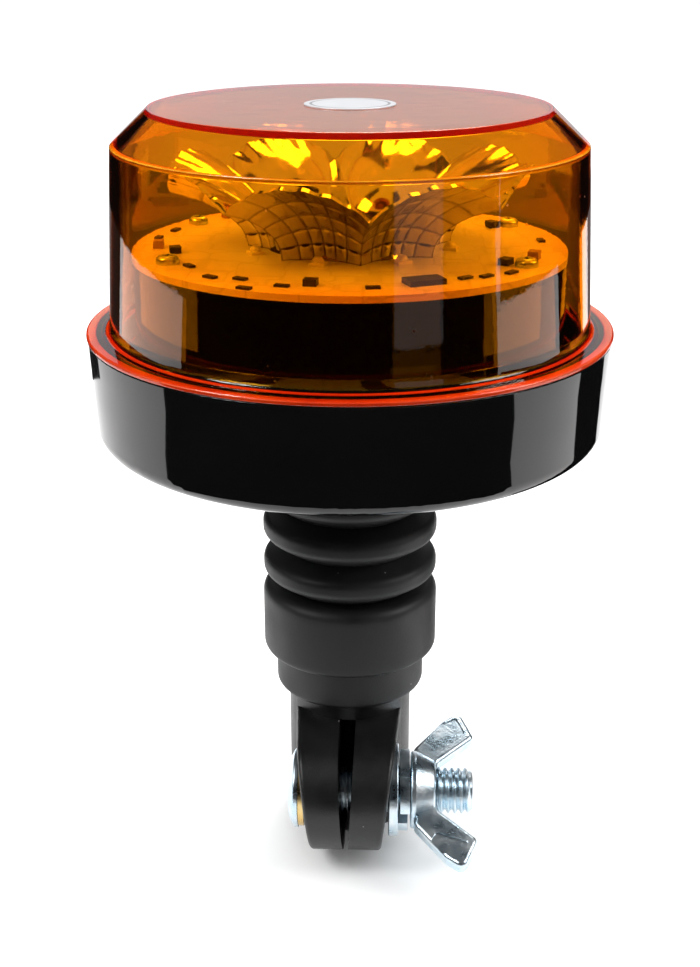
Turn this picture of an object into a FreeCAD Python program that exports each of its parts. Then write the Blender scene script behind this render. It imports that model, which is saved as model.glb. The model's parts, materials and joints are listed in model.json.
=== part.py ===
"""Amber LED warning beacon on a flexible neck with a clamping pole socket.

Millimetres, +Z up. The origin is on the axis of the pole bore, at the mouth of the socket.
The bolt of the clamp lies along X and the clamp's ears stand out towards -Y.
Each function makes one piece of the assembly, and every piece is written to its own STEP file.
"""
import FreeCAD, Part
import math
import os

V = FreeCAD.Vector
ORIGIN, AXIS_X, AXIS_Y, AXIS_Z = V(0, 0, 0), V(1, 0, 0), V(0, 1, 0), V(0, 0, 1)

# ---- Driving dimensions -------------------------------------------------------------------

# Pole socket
BORE_R = 12.15              # clamping bore for a 24 mm pole
BORE_DEPTH = 38.0
CHAMBER_R = 12.7            # wider chamber above the clamping bore
CHAMBER_TOP = 52.0
ROOF = 4.0
SOCKET_R = 16.5
SOCKET_TOP = 64.0
BARB = 1.7                  # ridge that the neck's sleeve snaps over
BARB_Z = 59.4
BARB_LENGTH = 5.0

# Clamp ears
EAR_R = 15.7                # outline radius about the bolt's axis
EAR_SEAT = 11.0             # half the width over the two seats
EAR_PROUD = 0.35            # the ears' faces stand this far outside the seats, at the bolt
EAR_LEAN = 6.7              # degrees that each ear's outer face leans in towards its foot
EAR_TAPER = 3.8             # degrees that it runs in towards the nose
EAR_ROUND = 1.2
BOLT_Y = -25.0
BOLT_Z = 19.5
SLOT = 2.5                  # width of the split at the bolt's axis
SLOT_LEAN = 3.2             # degrees that each side of the split leans in towards its foot
SLOT_LEAST = 0.4            # width that the split keeps at the mouth

# Clamp hardware
BOLT_R = 5.95
BOLT_END = 33.0
BOLT_TIP = 0.9              # chamfer at the bolt's end
HEAD_R = 10.2
HEAD_HEIGHT = 3.0
HEAD_RIM = 1.2
SQUARE = 12.0               # square neck under the bolt's head
SQUARE_LENGTH = 6.0
HEAD_WASHER = 1.4
FLAT_WASHER_R = 12.0
FLAT_WASHER = 2.5
SPRING_WASHER_R = 10.55
SPRING_WASHER = 2.5
SPRING_WASHER_RISE = 0.6    # how far the split ends stand apart
SPRING_WASHER_GAP = 18.0    # degrees left open between the split ends
SPRING_WASHER_TURN = -78.0  # where the split faces: just under straight towards -Y
WASHER_HOLE_R = 6.3
HUB_R = 10.0
HUB_RIM = 1.4
HUB_TOP_R = 7.4
HUB_LENGTH = 6.6
WING_REACH = 25.8           # from the bolt's axis to the wing's far corner
WING_RISE = 17.3            # from the hub's foot to the wing's top corner
WING_FOOT = 0.9             # the wing starts this far above the hub's foot
WING_ROOT = 2.6             # and runs level this far outside the hub
WING_KNEE = 8.9             # height at which its lower edge turns up towards the far corner
WING_BACK = 3.2             # how far in from the far corner that turn lies
WING_DROP = 3.8             # from the top corner down to the far corner
WING_TOP = 9.2              # from the far corner in to the top corner
WING_THICK = 4.0
WING_RIM = 1.8              # left round the pressed panel on each face
WING_PANEL = 9.0            # how far that panel reaches in towards the hub
WING_PANEL_DEPTH = 0.35
WING_PANEL_TIP = 4.2
WING_PANEL_BACK = 1.0
WING_TURN = 72.0            # degrees of the near wing from straight down, towards -Y

# Contacts
HOLDER_R = 12.3
HOLDER_THICK = 4.0
HOLDER_BOSS_R = 6.0
HOLDER_BOSS = 6.0
PLUNGER_R = 2.3
PLUNGER_COLLAR_R = 3.4
PLUNGER_COLLAR = 1.5
PLUNGER_REACH = 6.0         # how far the tip stands below the holder
PLUNGER_GUIDE_R = 1.2
PLUNGER_STROKE = 3.0
HOLDER_LIP = 1.4
HOLDER_CAP = 1.4
SPRING_WIRE_R = 0.25
SPRING_TURNS = 4
EARTH_STRIP = 0.4
EARTH_HEIGHT = 9.0
EARTH_OPEN = 60.0           # degrees left open in the ring
EARTH_TAB = 4.0

# Flexible neck
NECK_FOOT = 39.9
COLLAR_R = 19.8
COLLAR_ROUND = 2.9
SLEEVE_FOOT = 50.8
SLEEVE_R = 23.1
SLEEVE_TOP = 69.55
SLEEVE_ROUND = 2.5
SHOULDER_ROUND = 5.0
RING_R = 22.85
RING_COUNT = 4
RING_PITCH = 10.65
RING_ROUND = 2.5
GROOVE_R = 17.3
NECK_BORE_R = 12.0
THROAT_R = 15.0
NECK_FLANGE_R = 22.0
NECK_FLANGE = 3.2

# Base housing
BASE_R = 64.8               # at its top edge
BASE_DRAFT = 1.25           # how far in its drafted wall would meet the underside
BASE_HEIGHT = 26.5
BASE_ROUND = 4.7
BASE_FLOOR = 2.8
BASE_WALL = 3.5
BASE_BOSS = 4.0             # height of the bosses that carry the board's drum
PILLAR_R = 3.8
PILLAR_GAP = 0.5            # between a pillar and the board's drum
PILLAR_DROP = 1.0           # how far below the lens's spigot a pillar ends
SCREW_R = 1.5
SCREW_HOLE_R = 1.7
SCREW_HEAD_R = 2.6
SCREW_HEAD = 1.9
SCREW_SEAT = 3.0            # what a pillar keeps over the head of its screw

# Lens
LENS_PROUD = 0.2            # how far the flange stands out over the base
LENS_FLANGE = 1.3
LENS_FLANGE_WIDTH = 5.85    # from the flange's rim in to the foot of the wall
LENS_FOOT = 2.5             # height of the hollow round between the flange and the wall
LENS_DRAFT = 2.3            # how far in the wall leans up to the shoulder
LENS_CHAMFER = 9.05         # from the shoulder in to the top's rim
LENS_SHOULDER = 44.0        # above the flange's top face
LENS_HEIGHT = 52.5          # above the flange's top face
LENS_WALL = 2.4
LENS_SPIGOT = 6.5
LENS_BOSS_R = 2.7
LENS_SCREWS = 4
LENS_SCREW_BITE = 5.5       # how far a screw reaches into its boss
DISC_R = 10.95
DISC_THICK = 0.3
GASKET_WIDTH = 1.7
GASKET_THICK = 1.45

# Board, reflector and electronics
BOARD_GAP = 3.85            # between the board's edge and the foot of the lens wall, inside
BOARD_TOP = 19.6            # above the lens flange's top face
BOARD = 1.6
CARRIER_WALL = 2.2
CARRIER_LEDGE = 8.0
CARRIER_LEDGE_THICK = 2.4
CARRIER_LUG_R = 4.2
CARRIER_POST_R = 3.2
CARRIER_POST = 6.0          # how far the posts under the board's screws hang below the ledge
CARRIER_SCREW_BITE = 3.6
BOARD_SCREW_INSET = 5.9     # from the board's edge in to its screws
BOARD_SCREW_BITE = 7.0
PETALS = 8
PETAL_START_R = 20.3        # where a petal's middle leaves the board
PETAL_FOCUS_SIDE = 7.4      # focal length of a petal's plan curve
PETAL_FOCUS_UP = 4.4        # focal length of a petal's upright curve
PETAL_SKIN = 1.1
REFLECTOR_R = 43.6
REFLECTOR_TURN = -82.3      # direction of one ridge between two petals, in degrees from +X
HUB_PLATE = 1.5
HUB_PLATE_LAP = 4.0
HUB_SCREW_RING_R = 11.2
HUB_SCREW_TAIL = 1.5        # how far the reflector's screws come out under the board
LED_RING_R = 25.2
LED_SIZE = 3.5
LED_BODY = 0.8
LED_DOME_R = 1.35

# Neck clamp
RING_PLATE_R = 31.0
RING_PLATE_HOLE_R = 12.5
RING_PLATE = 1.5
RING_SCREW_RING_R = 27.0
RING_BOSS_R = 3.4
RING_SCREW_BITE = 3.2

# Leads
LEAD_R = 0.9
CONNECTOR = (10.0, 6.0, 6.0)

# Named clearances
FIT = 0.15                  # between the soft neck and what it grips
SEAT_GAP = 0.1              # between pieces of two bodies that bear on each other
RUN = 0.06                  # radial, for what turns or slides
SLACK = 0.3                 # round pieces that only pass each other

# ---- Radii and heights worked out from the sizes above ------------------------------------

BASE_FOOT_R = BASE_R - BASE_DRAFT
LENS_FLANGE_R = BASE_R + LENS_PROUD
LENS_FOOT_R = LENS_FLANGE_R - LENS_FLANGE_WIDTH
LENS_SHOULDER_R = LENS_FOOT_R - LENS_DRAFT
LENS_TOP_R = LENS_SHOULDER_R - LENS_CHAMFER
BOARD_R = LENS_FOOT_R - LENS_WALL - BOARD_GAP
BOARD_SCREW_RING_R = BOARD_R - BOARD_SCREW_INSET
PILLAR_RING_R = BOARD_R + PILLAR_GAP + PILLAR_R

BASE_Z = SLEEVE_TOP + RING_COUNT * RING_PITCH               # the base's underside
BASE_TOP = BASE_Z + BASE_HEIGHT
FLANGE_Z = BASE_TOP + LENS_FLANGE                           # the lens flange's top face
FLOOR_Z = BASE_Z + BASE_FLOOR
BOARD_Z = FLANGE_Z + BOARD_TOP                              # the board's top face
BOARD_FOOT = BOARD_Z - BOARD
HOLDER_Z = CHAMBER_TOP + ROOF
RING_PLATE_Z = FLOOR_Z + FIT + NECK_FLANGE + FIT
PILLAR_TOP = BASE_TOP - LENS_SPIGOT - PILLAR_DROP
SCREW_DEPTH = PILLAR_TOP - SCREW_SEAT - BASE_Z              # recess of the lens screws
LUG_Z = FLOOR_Z + BASE_BOSS                                 # foot of the lugs on the board's drum

# ---- Shape helpers ------------------------------------------------------------------------


def cylinder(radius, length, base=ORIGIN, axis=AXIS_Z):
    return Part.makeCylinder(radius, length, base, axis)


def tube(outer, inner, length, base=ORIGIN, axis=AXIS_Z):
    return cylinder(outer, length, base, axis).cut(cylinder(inner, length, base, axis))


def box(size_x, size_y, size_z, centre_x=0.0, centre_y=0.0, foot_z=0.0):
    corner = V(centre_x - size_x / 2, centre_y - size_y / 2, foot_z)
    return Part.makeBox(size_x, size_y, size_z, corner)


def on_circle(radius, degrees, height=0.0):
    angle = math.radians(degrees)
    return V(radius * math.cos(angle), radius * math.sin(angle), height)


def turned(shape, degrees, axis=AXIS_Z, base=ORIGIN):
    copy = shape.copy()
    copy.rotate(base, axis, degrees)
    return copy


def moved(shape, offset):
    copy = shape.copy()
    copy.translate(offset)
    return copy


def rounded_wire(corners):
    """A closed wire through (point, radius) corners, each rounded by its radius where it has one."""
    count = len(corners)
    edges = []
    starts, ends = [], []
    for index in range(count):
        point, radius = corners[index]
        before = (corners[index - 1][0] - point)
        after = (corners[(index + 1) % count][0] - point)
        turn = before.getAngle(after)
        if radius <= 0 or abs(turn - math.pi) < 1e-6:
            starts.append(point)
            ends.append(point)
            continue
        room = 0.49 * min(before.Length, after.Length)
        reach = min(radius / math.tan(turn / 2), room)
        radius = reach * math.tan(turn / 2)
        start = point + before.normalize() * reach
        end = point + after.normalize() * reach
        bisector = (start - point) + (end - point)
        centre = point + bisector.normalize() * math.hypot(reach, radius)
        middle = centre + (point - centre).normalize() * radius
        edges.append((index, Part.Arc(start, middle, end).toShape()))
        starts.append(start)
        ends.append(end)
    arcs = dict(edges)
    path = []
    for index in range(count):
        if index in arcs:
            path.append(arcs[index])
        following = (index + 1) % count
        if (ends[index] - starts[following]).Length > 1e-6:
            path.append(Part.makeLine(ends[index], starts[following]))
    return Part.Wire(path)


def revolved(profile):
    """A solid of revolution about Z, from (radius, height[, rounding]) corners."""
    corners = [(V(p[0], 0, p[1]), p[2] if len(p) > 2 else 0.0) for p in profile]
    return Part.Face(rounded_wire(corners)).revolve(ORIGIN, AXIS_Z, 360)


def screw(head_radius, head_height, shank_radius, length, seat, down=True):
    """A pan-headed screw: its head's underside is at seat, and its shank points down or up."""
    head = cylinder(head_radius, head_height)
    rim = [edge for edge in head.Edges if abs(edge.CenterOfMass.z - head_height) < 1e-6]
    head = head.makeFillet(head_height * 0.6, rim[:1])
    slot = box(head_radius, head_radius * 0.24, head_height, 0, 0, head_height * 0.5)
    head = head.cut(slot.fuse(turned(slot, 90)))
    shank = cylinder(shank_radius, length, V(0, 0, -length))
    whole = head.fuse(shank)
    if not down:
        whole = turned(whole, 180, AXIS_X)
    return moved(whole, seat)


def solids(shapes):
    return Part.makeCompound(shapes)


# ---- Pole socket --------------------------------------------------------------------------


def ear_block():
    """The two clamp ears as one block: a round-nosed slab across the bolt, with leaning sides."""
    half = EAR_SEAT + EAR_PROUD
    reach = half + EAR_R
    top, foot = BOLT_Z + EAR_R, BOLT_Z - EAR_R
    back = -BORE_R / 2
    nose = Part.Arc(V(0, BOLT_Y, top), V(0, BOLT_Y - EAR_R, BOLT_Z), V(0, BOLT_Y, foot)).toShape()
    sides = Part.makePolygon([V(0, BOLT_Y, foot), V(0, back, foot), V(0, back, top), V(0, BOLT_Y, top)])
    slab = Part.Face(Part.Wire([nose] + sides.Edges))
    slab = moved(slab, V(-reach, 0, 0)).extrude(V(2 * reach, 0, 0))
    beyond = Part.makeBox(2 * reach, 4 * EAR_R, 4 * EAR_R, V(0, -2 * EAR_R, -2 * EAR_R))
    beyond = turned(turned(beyond, EAR_LEAN, AXIS_Y), -EAR_TAPER)
    beyond = moved(beyond, V(half, BOLT_Y, BOLT_Z))
    slab = slab.cut(beyond).cut(beyond.mirror(ORIGIN, AXIS_X))
    outline = [edge for edge in slab.Edges if is_ear_rim(edge, back)]
    return slab.makeFillet(EAR_ROUND, outline)


def is_ear_rim(edge, back):
    """True for the edges round an ear's outer face, apart from the one buried in the tube."""
    spans = max(v.X for v in edge.Vertexes) - min(v.X for v in edge.Vertexes)
    return spans < EAR_SEAT and edge.CenterOfMass.y < back - EAR_ROUND


def clamp_split():
    """The wedge-shaped split between the ears, open into the bore."""
    lean = math.tan(math.radians(SLOT_LEAN))
    top = BOLT_Z + EAR_R
    high = SLOT / 2 + EAR_R * lean
    low = max(SLOT / 2 - BOLT_Z * lean, SLOT_LEAST / 2)
    front = BOLT_Y - EAR_R - 1
    wedge = Part.Face(Part.makePolygon([
        V(-low, front, -1), V(low, front, -1), V(high, front, top), V(-high, front, top),
        V(-low, front, -1)]))
    return wedge.extrude(V(0, -front, 0))


def bolt_spot(radius, start, end):
    """A cylinder on the bolt's axis, between two places along X."""
    return cylinder(radius, end - start, V(start, BOLT_Y, BOLT_Z), AXIS_X)


def pole_socket():
    barb_low, barb_high = BARB_Z - BARB_LENGTH / 2, BARB_Z + BARB_LENGTH / 2
    body = revolved([
        (BORE_R, 0), (SOCKET_R, 0, 0.8), (SOCKET_R, barb_low), (SOCKET_R + BARB, barb_low + 0.6, 0.3),
        (SOCKET_R + BARB, barb_high - 2.2, 0.6), (SOCKET_R, barb_high), (SOCKET_R, SOCKET_TOP, 1.0),
        (HOLDER_R + SLACK, SOCKET_TOP), (HOLDER_R + SLACK, HOLDER_Z), (HOLDER_BOSS_R + SLACK, HOLDER_Z),
        (HOLDER_BOSS_R + SLACK, CHAMBER_TOP), (CHAMBER_R, CHAMBER_TOP, 0.5), (CHAMBER_R, BORE_DEPTH),
        (BORE_R, BORE_DEPTH)])
    body = body.fuse(ear_block())
    body = body.cut(cylinder(BORE_R, BORE_DEPTH))
    body = body.cut(clamp_split())
    far = SOCKET_R + 1
    seat_r = FLAT_WASHER_R + SLACK
    body = body.cut(bolt_spot(seat_r, EAR_SEAT, far))
    body = body.cut(bolt_spot(seat_r, -far, -EAR_SEAT))
    body = body.cut(bolt_spot(BOLT_R + SLACK, -far, far))
    square = SQUARE + 2 * SLACK
    depth = SQUARE_LENGTH + SLACK
    pocket = Part.makeBox(depth, square, square, V(-EAR_SEAT, BOLT_Y - square / 2, BOLT_Z - square / 2))
    body = body.cut(pocket)
    tab = EARTH_TAB + 2 * SLACK
    groove = box(2 * (EARTH_STRIP + SLACK), tab, SOCKET_TOP, CHAMBER_R, 0, CHAMBER_TOP - 1)
    return body.cut(groove).removeSplitter()


# ---- Clamp hardware -----------------------------------------------------------------------


def along_bolt(shape, place):
    """Stands a shape that was made about +Z on the bolt's axis, with its foot at x = place."""
    laid = turned(shape, 90, AXIS_Y)
    return moved(laid, V(place, BOLT_Y, BOLT_Z))


def head_seat():
    return -(EAR_SEAT + HEAD_WASHER)


def clamp_bolt():
    """A round-headed bolt with a square neck; its thread stays a plain cylinder here."""
    dome = revolved([(0, 0), (HEAD_R, 0, 0.3), (HEAD_R, -HEAD_RIM, 0.5),
                     (HEAD_R * 0.72, -HEAD_HEIGHT * 0.86, 3.0), (0, -HEAD_HEIGHT)])
    shank_end = BOLT_END - head_seat()
    shank = revolved([(0, 0), (BOLT_R, 0), (BOLT_R, shank_end - BOLT_TIP), (BOLT_R - BOLT_TIP, shank_end),
                      (0, shank_end)])
    square = box(SQUARE, SQUARE, SQUARE_LENGTH + HEAD_WASHER)
    square = square.common(cylinder(SQUARE * 0.68, SQUARE_LENGTH + HEAD_WASHER))
    return along_bolt(dome.multiFuse([shank, square]), head_seat())


def head_washer():
    hole = box(SQUARE + 0.2, SQUARE + 0.2, HEAD_WASHER)
    return along_bolt(cylinder(HEAD_R - 0.4, HEAD_WASHER).cut(hole), head_seat())


def flat_washer():
    ring = revolved([(WASHER_HOLE_R, 0), (FLAT_WASHER_R, 0, 0.4), (FLAT_WASHER_R, FLAT_WASHER, 0.4),
                     (WASHER_HOLE_R, FLAT_WASHER)])
    return along_bolt(ring, EAR_SEAT + SEAT_GAP)


def spring_washer_foot():
    return EAR_SEAT + SEAT_GAP + FLAT_WASHER


def spring_washer():
    """A split lock washer: one turn of a square section whose ends stand apart."""
    middle_r = (WASHER_HOLE_R + SPRING_WASHER_R) / 2
    width = SPRING_WASHER_R - WASHER_HOLE_R
    sweep = 360.0 - SPRING_WASHER_GAP
    steps = 12
    sections = []
    for step in range(steps + 1):
        share = step / steps
        degrees = SPRING_WASHER_GAP / 2 + share * sweep
        rise = share * SPRING_WASHER_RISE
        low = [(middle_r - width / 2, rise), (middle_r + width / 2, rise),
               (middle_r + width / 2, rise + SPRING_WASHER), (middle_r - width / 2, rise + SPRING_WASHER)]
        points = [turned(Part.Vertex(V(r, 0, z)), degrees).Point for r, z in low]
        sections.append(Part.makePolygon(points + points[:1]))
    coil = Part.makeLoft(sections, True, False)
    return along_bolt(turned(coil, SPRING_WASHER_TURN), spring_washer_foot())


def hub_foot():
    return spring_washer_foot() + SPRING_WASHER + SPRING_WASHER_RISE + SEAT_GAP


def wing_plate():
    """One wing in the XZ plane, about the hub's own axis Z with the wing towards +X."""
    far = V(WING_REACH, 0, WING_RISE - WING_DROP)
    tip = V(WING_REACH - WING_TOP, 0, WING_RISE)
    corners = [(V(0, 0, WING_FOOT), 0.0), (V(HUB_R + WING_ROOT, 0, WING_FOOT), 2.5),
               (V(WING_REACH - WING_BACK, 0, WING_KNEE), 3.0), (far, 2.0), (tip, 2.0),
               (V(HUB_TOP_R + 0.4, 0, HUB_LENGTH + 0.8), 2.5), (V(0, 0, HUB_LENGTH - 0.4), 0.0)]
    face = Part.Face(rounded_wire(corners))
    plate = moved(face, V(0, -WING_THICK / 2, 0)).extrude(V(0, WING_THICK, 0))
    edges = [edge for edge in plate.Edges if is_wing_rim(edge)]
    plate = plate.makeFillet(WING_THICK * 0.3, edges)
    return plate.cut(wing_panel(far, tip))


def is_wing_rim(edge):
    """True for the outline edges of a wing's two broad faces, outside the hub."""
    centre = edge.CenterOfMass
    flat = abs(abs(centre.y) - WING_THICK / 2) < 1e-6
    return flat and min(v.X for v in edge.Vertexes) > HUB_TOP_R * 0.5


def wing_panel(far, tip):
    """The shallow pressed panel on each broad face of a wing."""
    across = (tip - far)
    length = across.Length
    across.normalize()
    inward = V(-across.z, 0, across.x)
    if inward.x > 0:
        inward = inward * -1
    start = far + across * WING_RIM + inward * WING_RIM
    corners = [(start, 0.8), (start + across * (length - 2 * WING_RIM), 0.8),
               (start + across * (length - WING_PANEL_TIP) + inward * WING_PANEL, 1.5),
               (start + across * WING_PANEL_BACK + inward * WING_PANEL, 1.5)]
    face = Part.Face(rounded_wire(corners))
    cut = V(0, 2 * WING_PANEL_DEPTH, 0)
    front = moved(face, V(0, -WING_THICK / 2 - WING_PANEL_DEPTH, 0)).extrude(cut)
    back = moved(face, V(0, WING_THICK / 2 - WING_PANEL_DEPTH, 0)).extrude(cut)
    return solids([front, back])


def wing_nut():
    hub = revolved([(0, 0), (HUB_R, 0, 0.8), (HUB_R, HUB_RIM, 0.8), (HUB_TOP_R, HUB_LENGTH, 1.4),
                    (0, HUB_LENGTH)])
    wing = wing_plate()
    nut = hub.multiFuse([wing, turned(wing, 180)])
    nut = nut.cut(cylinder(BOLT_R + RUN, 2 * HUB_LENGTH, V(0, 0, -HUB_LENGTH / 2)))
    # +X of the wing plate becomes straight down when it is laid along the bolt.
    return along_bolt(turned(nut, -WING_TURN), hub_foot())


# ---- Contacts -----------------------------------------------------------------------------


def contact_holder():
    boss_foot = HOLDER_Z - HOLDER_BOSS
    body = revolved([(0, boss_foot), (HOLDER_BOSS_R, boss_foot, 0.5), (HOLDER_BOSS_R, HOLDER_Z),
                     (HOLDER_R, HOLDER_Z), (HOLDER_R, HOLDER_Z + HOLDER_THICK, 0.5),
                     (0, HOLDER_Z + HOLDER_THICK)])
    guide = PLUNGER_COLLAR_R + RUN
    body = body.cut(cylinder(guide, spring_room(), V(0, 0, boss_foot + HOLDER_LIP)))
    body = body.cut(cylinder(PLUNGER_R + RUN, HOLDER_LIP + 1, V(0, 0, boss_foot - 1)))
    body = body.cut(cylinder(LEAD_R + SLACK, HOLDER_CAP + 1, V(0, 0, HOLDER_Z + HOLDER_THICK - HOLDER_CAP)))
    tab = EARTH_TAB + 2 * SLACK
    return body.cut(box(2 * (EARTH_STRIP + SLACK), tab, HOLDER_THICK + 1, HOLDER_R, 0, HOLDER_Z))


def spring_room():
    return HOLDER_THICK + HOLDER_BOSS - HOLDER_LIP - HOLDER_CAP


def collar_z():
    return HOLDER_Z - HOLDER_BOSS + HOLDER_LIP + SEAT_GAP


def centre_contact():
    foot = HOLDER_Z - HOLDER_BOSS - PLUNGER_REACH
    low = collar_z()
    high = low + PLUNGER_COLLAR
    guide_end = high + spring_length() - PLUNGER_STROKE - 0.6
    return revolved([(0, foot), (PLUNGER_R, foot, 1.6), (PLUNGER_R, low), (PLUNGER_COLLAR_R, low),
                     (PLUNGER_COLLAR_R, high), (PLUNGER_GUIDE_R, high), (PLUNGER_GUIDE_R, guide_end, 0.3),
                     (0, guide_end)])


def spring_length():
    return spring_room() - SEAT_GAP - PLUNGER_COLLAR


def contact_spring():
    """The coil between the plunger's collar and the holder's cap."""
    coil_r = PLUNGER_COLLAR_R - SPRING_WIRE_R - 0.45
    foot = collar_z() + PLUNGER_COLLAR + SPRING_WIRE_R
    height = spring_length() - 2 * SPRING_WIRE_R
    helix = Part.makeHelix(height / SPRING_TURNS, height, coil_r)
    section = Part.Wire(Part.makeCircle(SPRING_WIRE_R, V(coil_r, 0, 0), AXIS_Y))
    coil = Part.Wire(helix.Edges).makePipeShell([section], True, True)
    return moved(coil, V(0, 0, foot))


def earth_contact():
    """A split spring ring that grips the pole's top, with a tab up past the holder."""
    foot = (BORE_DEPTH + CHAMBER_TOP - EARTH_HEIGHT) / 2
    outer = CHAMBER_R - 0.05
    inner = outer - EARTH_STRIP
    ring = tube(outer, inner, EARTH_HEIGHT, V(0, 0, foot))
    wide = 2 * CHAMBER_R
    half = math.radians(EARTH_OPEN / 2)
    opening = Part.Face(Part.makePolygon([
        V(0, 0, foot), V(-wide, wide * math.tan(half), foot), V(-wide, -wide * math.tan(half), foot),
        V(0, 0, foot)])).extrude(V(0, 0, EARTH_HEIGHT))
    ring = ring.cut(opening)
    top = HOLDER_Z + HOLDER_THICK + 1.5
    tab = box(EARTH_STRIP, EARTH_TAB, top - foot - 1, (inner + outer) / 2, 0, foot + 1)
    tab = tab.common(cylinder(outer, top))
    return ring.fuse(tab).removeSplitter()


# ---- Flexible neck ------------------------------------------------------------------------


def neck_ring(foot):
    """The outline of one bellows ring, from the groove under it to the groove over it."""
    return [(GROOVE_R, foot, 0.5), (RING_R, foot + RING_PITCH * 0.36, RING_ROUND),
            (RING_R, foot + RING_PITCH * 0.75, RING_ROUND)]


def flexible_neck():
    grip = SOCKET_R + FIT
    barb_low = BARB_Z - BARB_LENGTH / 2 - FIT
    barb_high = BARB_Z + BARB_LENGTH / 2 + FIT
    flange_foot = FLOOR_Z + FIT
    flange_top = flange_foot + NECK_FLANGE
    rings = []
    for index in range(RING_COUNT):
        rings += neck_ring(SLEEVE_TOP + index * RING_PITCH)
    outside = [(grip, NECK_FOOT), (COLLAR_R, NECK_FOOT, COLLAR_ROUND), (COLLAR_R, SLEEVE_FOOT, 0.3),
               (SLEEVE_R, SLEEVE_FOOT, SLEEVE_ROUND), (SLEEVE_R, SLEEVE_TOP, SHOULDER_ROUND)]
    crown = [(GROOVE_R, BASE_Z - FIT), (THROAT_R, BASE_Z - FIT), (THROAT_R, flange_foot),
             (NECK_FLANGE_R, flange_foot, 0.4), (NECK_FLANGE_R, flange_top, 0.4)]
    inside = [(NECK_BORE_R, flange_top), (NECK_BORE_R, SOCKET_TOP + FIT), (grip, SOCKET_TOP + FIT),
              (grip, barb_high), (grip + BARB, barb_high - 2.2), (grip + BARB, barb_low + 0.6),
              (grip, barb_low)]
    return revolved(outside + rings + crown + inside)


def lead(points):
    """A wire along a route of straight runs joined by tangent arcs."""
    route = [V(*point) for point in points]
    lengths = [(b - a).Length for a, b in zip(route, route[1:])]
    edges = []
    start = route[0]
    for index in range(1, len(route) - 1):
        here = route[index]
        back = (route[index - 1] - here).normalize()
        ahead = (route[index + 1] - here).normalize()
        turn = math.pi - back.getAngle(ahead)
        reach = 0.45 * min(lengths[index - 1], lengths[index])
        radius = reach / math.tan(turn / 2)
        first, last = here + back * reach, here + ahead * reach
        centre = here + (back + ahead).normalize() * math.hypot(reach, radius)
        middle = centre + (here - centre).normalize() * radius
        edges += [Part.makeLine(start, first), Part.Arc(first, middle, last).toShape()]
        start = last
        print("lead radius", round(radius, 1))
    edges.append(Part.makeLine(start, route[-1]))
    section = Part.Wire(Part.makeCircle(LEAD_R, route[0], route[1] - route[0]))
    return Part.Wire(edges).makePipeShell([section], True, False)


def lead_top():
    return BOARD_FOOT - CONNECTOR[2]


def lead_route(foot, side):
    """The lead's route up the hollow neck, a little slack, from its foot to the connector."""
    top = lead_top()
    x, y, z = foot
    end_x = side * CONNECTOR[0] / 4
    rise = top - z
    return [foot, (x, y, z + rise * 0.16), (x + side * 1.0, y + 1.6, z + rise * 0.36),
            ((x + end_x) / 2 + side * 1.4, y * 0.5 - 1.2, z + rise * 0.58), (end_x, 0, z + rise * 0.8),
            (end_x, 0, top)]


def positive_lead():
    return lead(lead_route((0, 0, HOLDER_Z + HOLDER_THICK + 0.1), -1))


def earth_lead():
    return lead(lead_route((CHAMBER_R - EARTH_STRIP - LEAD_R - 1.4, 0, HOLDER_Z + HOLDER_THICK + 0.1), 1))


# ---- Base housing -------------------------------------------------------------------------


def lens_screw_places():
    return [45 + 360 * index / LENS_SCREWS for index in range(LENS_SCREWS)]


def ring_screw_places():
    return [90, 210, 330]


def board_screw_places():
    return [30, 150, 210, 330]


def base_inside_r(height):
    """The inner radius of the base's drafted wall at a height."""
    share = (BASE_TOP - height) / BASE_HEIGHT
    return BASE_R - (BASE_R - BASE_FOOT_R) * share - BASE_WALL


def base_housing():
    rabbet_r = base_inside_r(BASE_TOP) + GASKET_WIDTH
    hole_r = THROAT_R + FIT
    body = revolved([
        (hole_r, BASE_Z), (BASE_FOOT_R, BASE_Z, BASE_ROUND), (BASE_R, BASE_TOP, 0.4), (rabbet_r, BASE_TOP),
        (rabbet_r, BASE_TOP - GASKET_THICK), (base_inside_r(BASE_TOP), BASE_TOP - GASKET_THICK),
        (base_inside_r(FLOOR_Z), FLOOR_Z, 1.5), (hole_r, FLOOR_Z)])
    stock, holes = [], []
    for degrees in lens_screw_places():
        place = on_circle(PILLAR_RING_R, degrees, FLOOR_Z - 0.5)
        stock.append(cylinder(PILLAR_R, PILLAR_TOP - FLOOR_Z + 0.5, place))
        foot = on_circle(PILLAR_RING_R, degrees, BASE_Z - 1)
        holes.append(cylinder(SCREW_HEAD_R + SLACK, SCREW_DEPTH + 1, foot))
        holes.append(cylinder(SCREW_HOLE_R, BASE_HEIGHT, foot))
    for degrees in ring_screw_places():
        place = on_circle(RING_SCREW_RING_R, degrees, FLOOR_Z - 0.5)
        stock.append(cylinder(RING_BOSS_R, RING_PLATE_Z - FLOOR_Z + 0.5, place))
        foot = on_circle(RING_SCREW_RING_R, degrees, FLOOR_Z - 1)
        holes.append(cylinder(SCREW_R, RING_PLATE_Z - FLOOR_Z + 1, foot))
    for degrees in board_screw_places():
        place = on_circle(BOARD_SCREW_RING_R, degrees, FLOOR_Z - 0.5)
        stock.append(cylinder(CARRIER_POST_R, BASE_BOSS + 0.5, place))
        holes.append(cylinder(SCREW_R, BASE_BOSS + 1, on_circle(BOARD_SCREW_RING_R, degrees, FLOOR_Z - 1)))
    return body.multiFuse(stock).cut(solids(holes)).removeSplitter()


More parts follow.
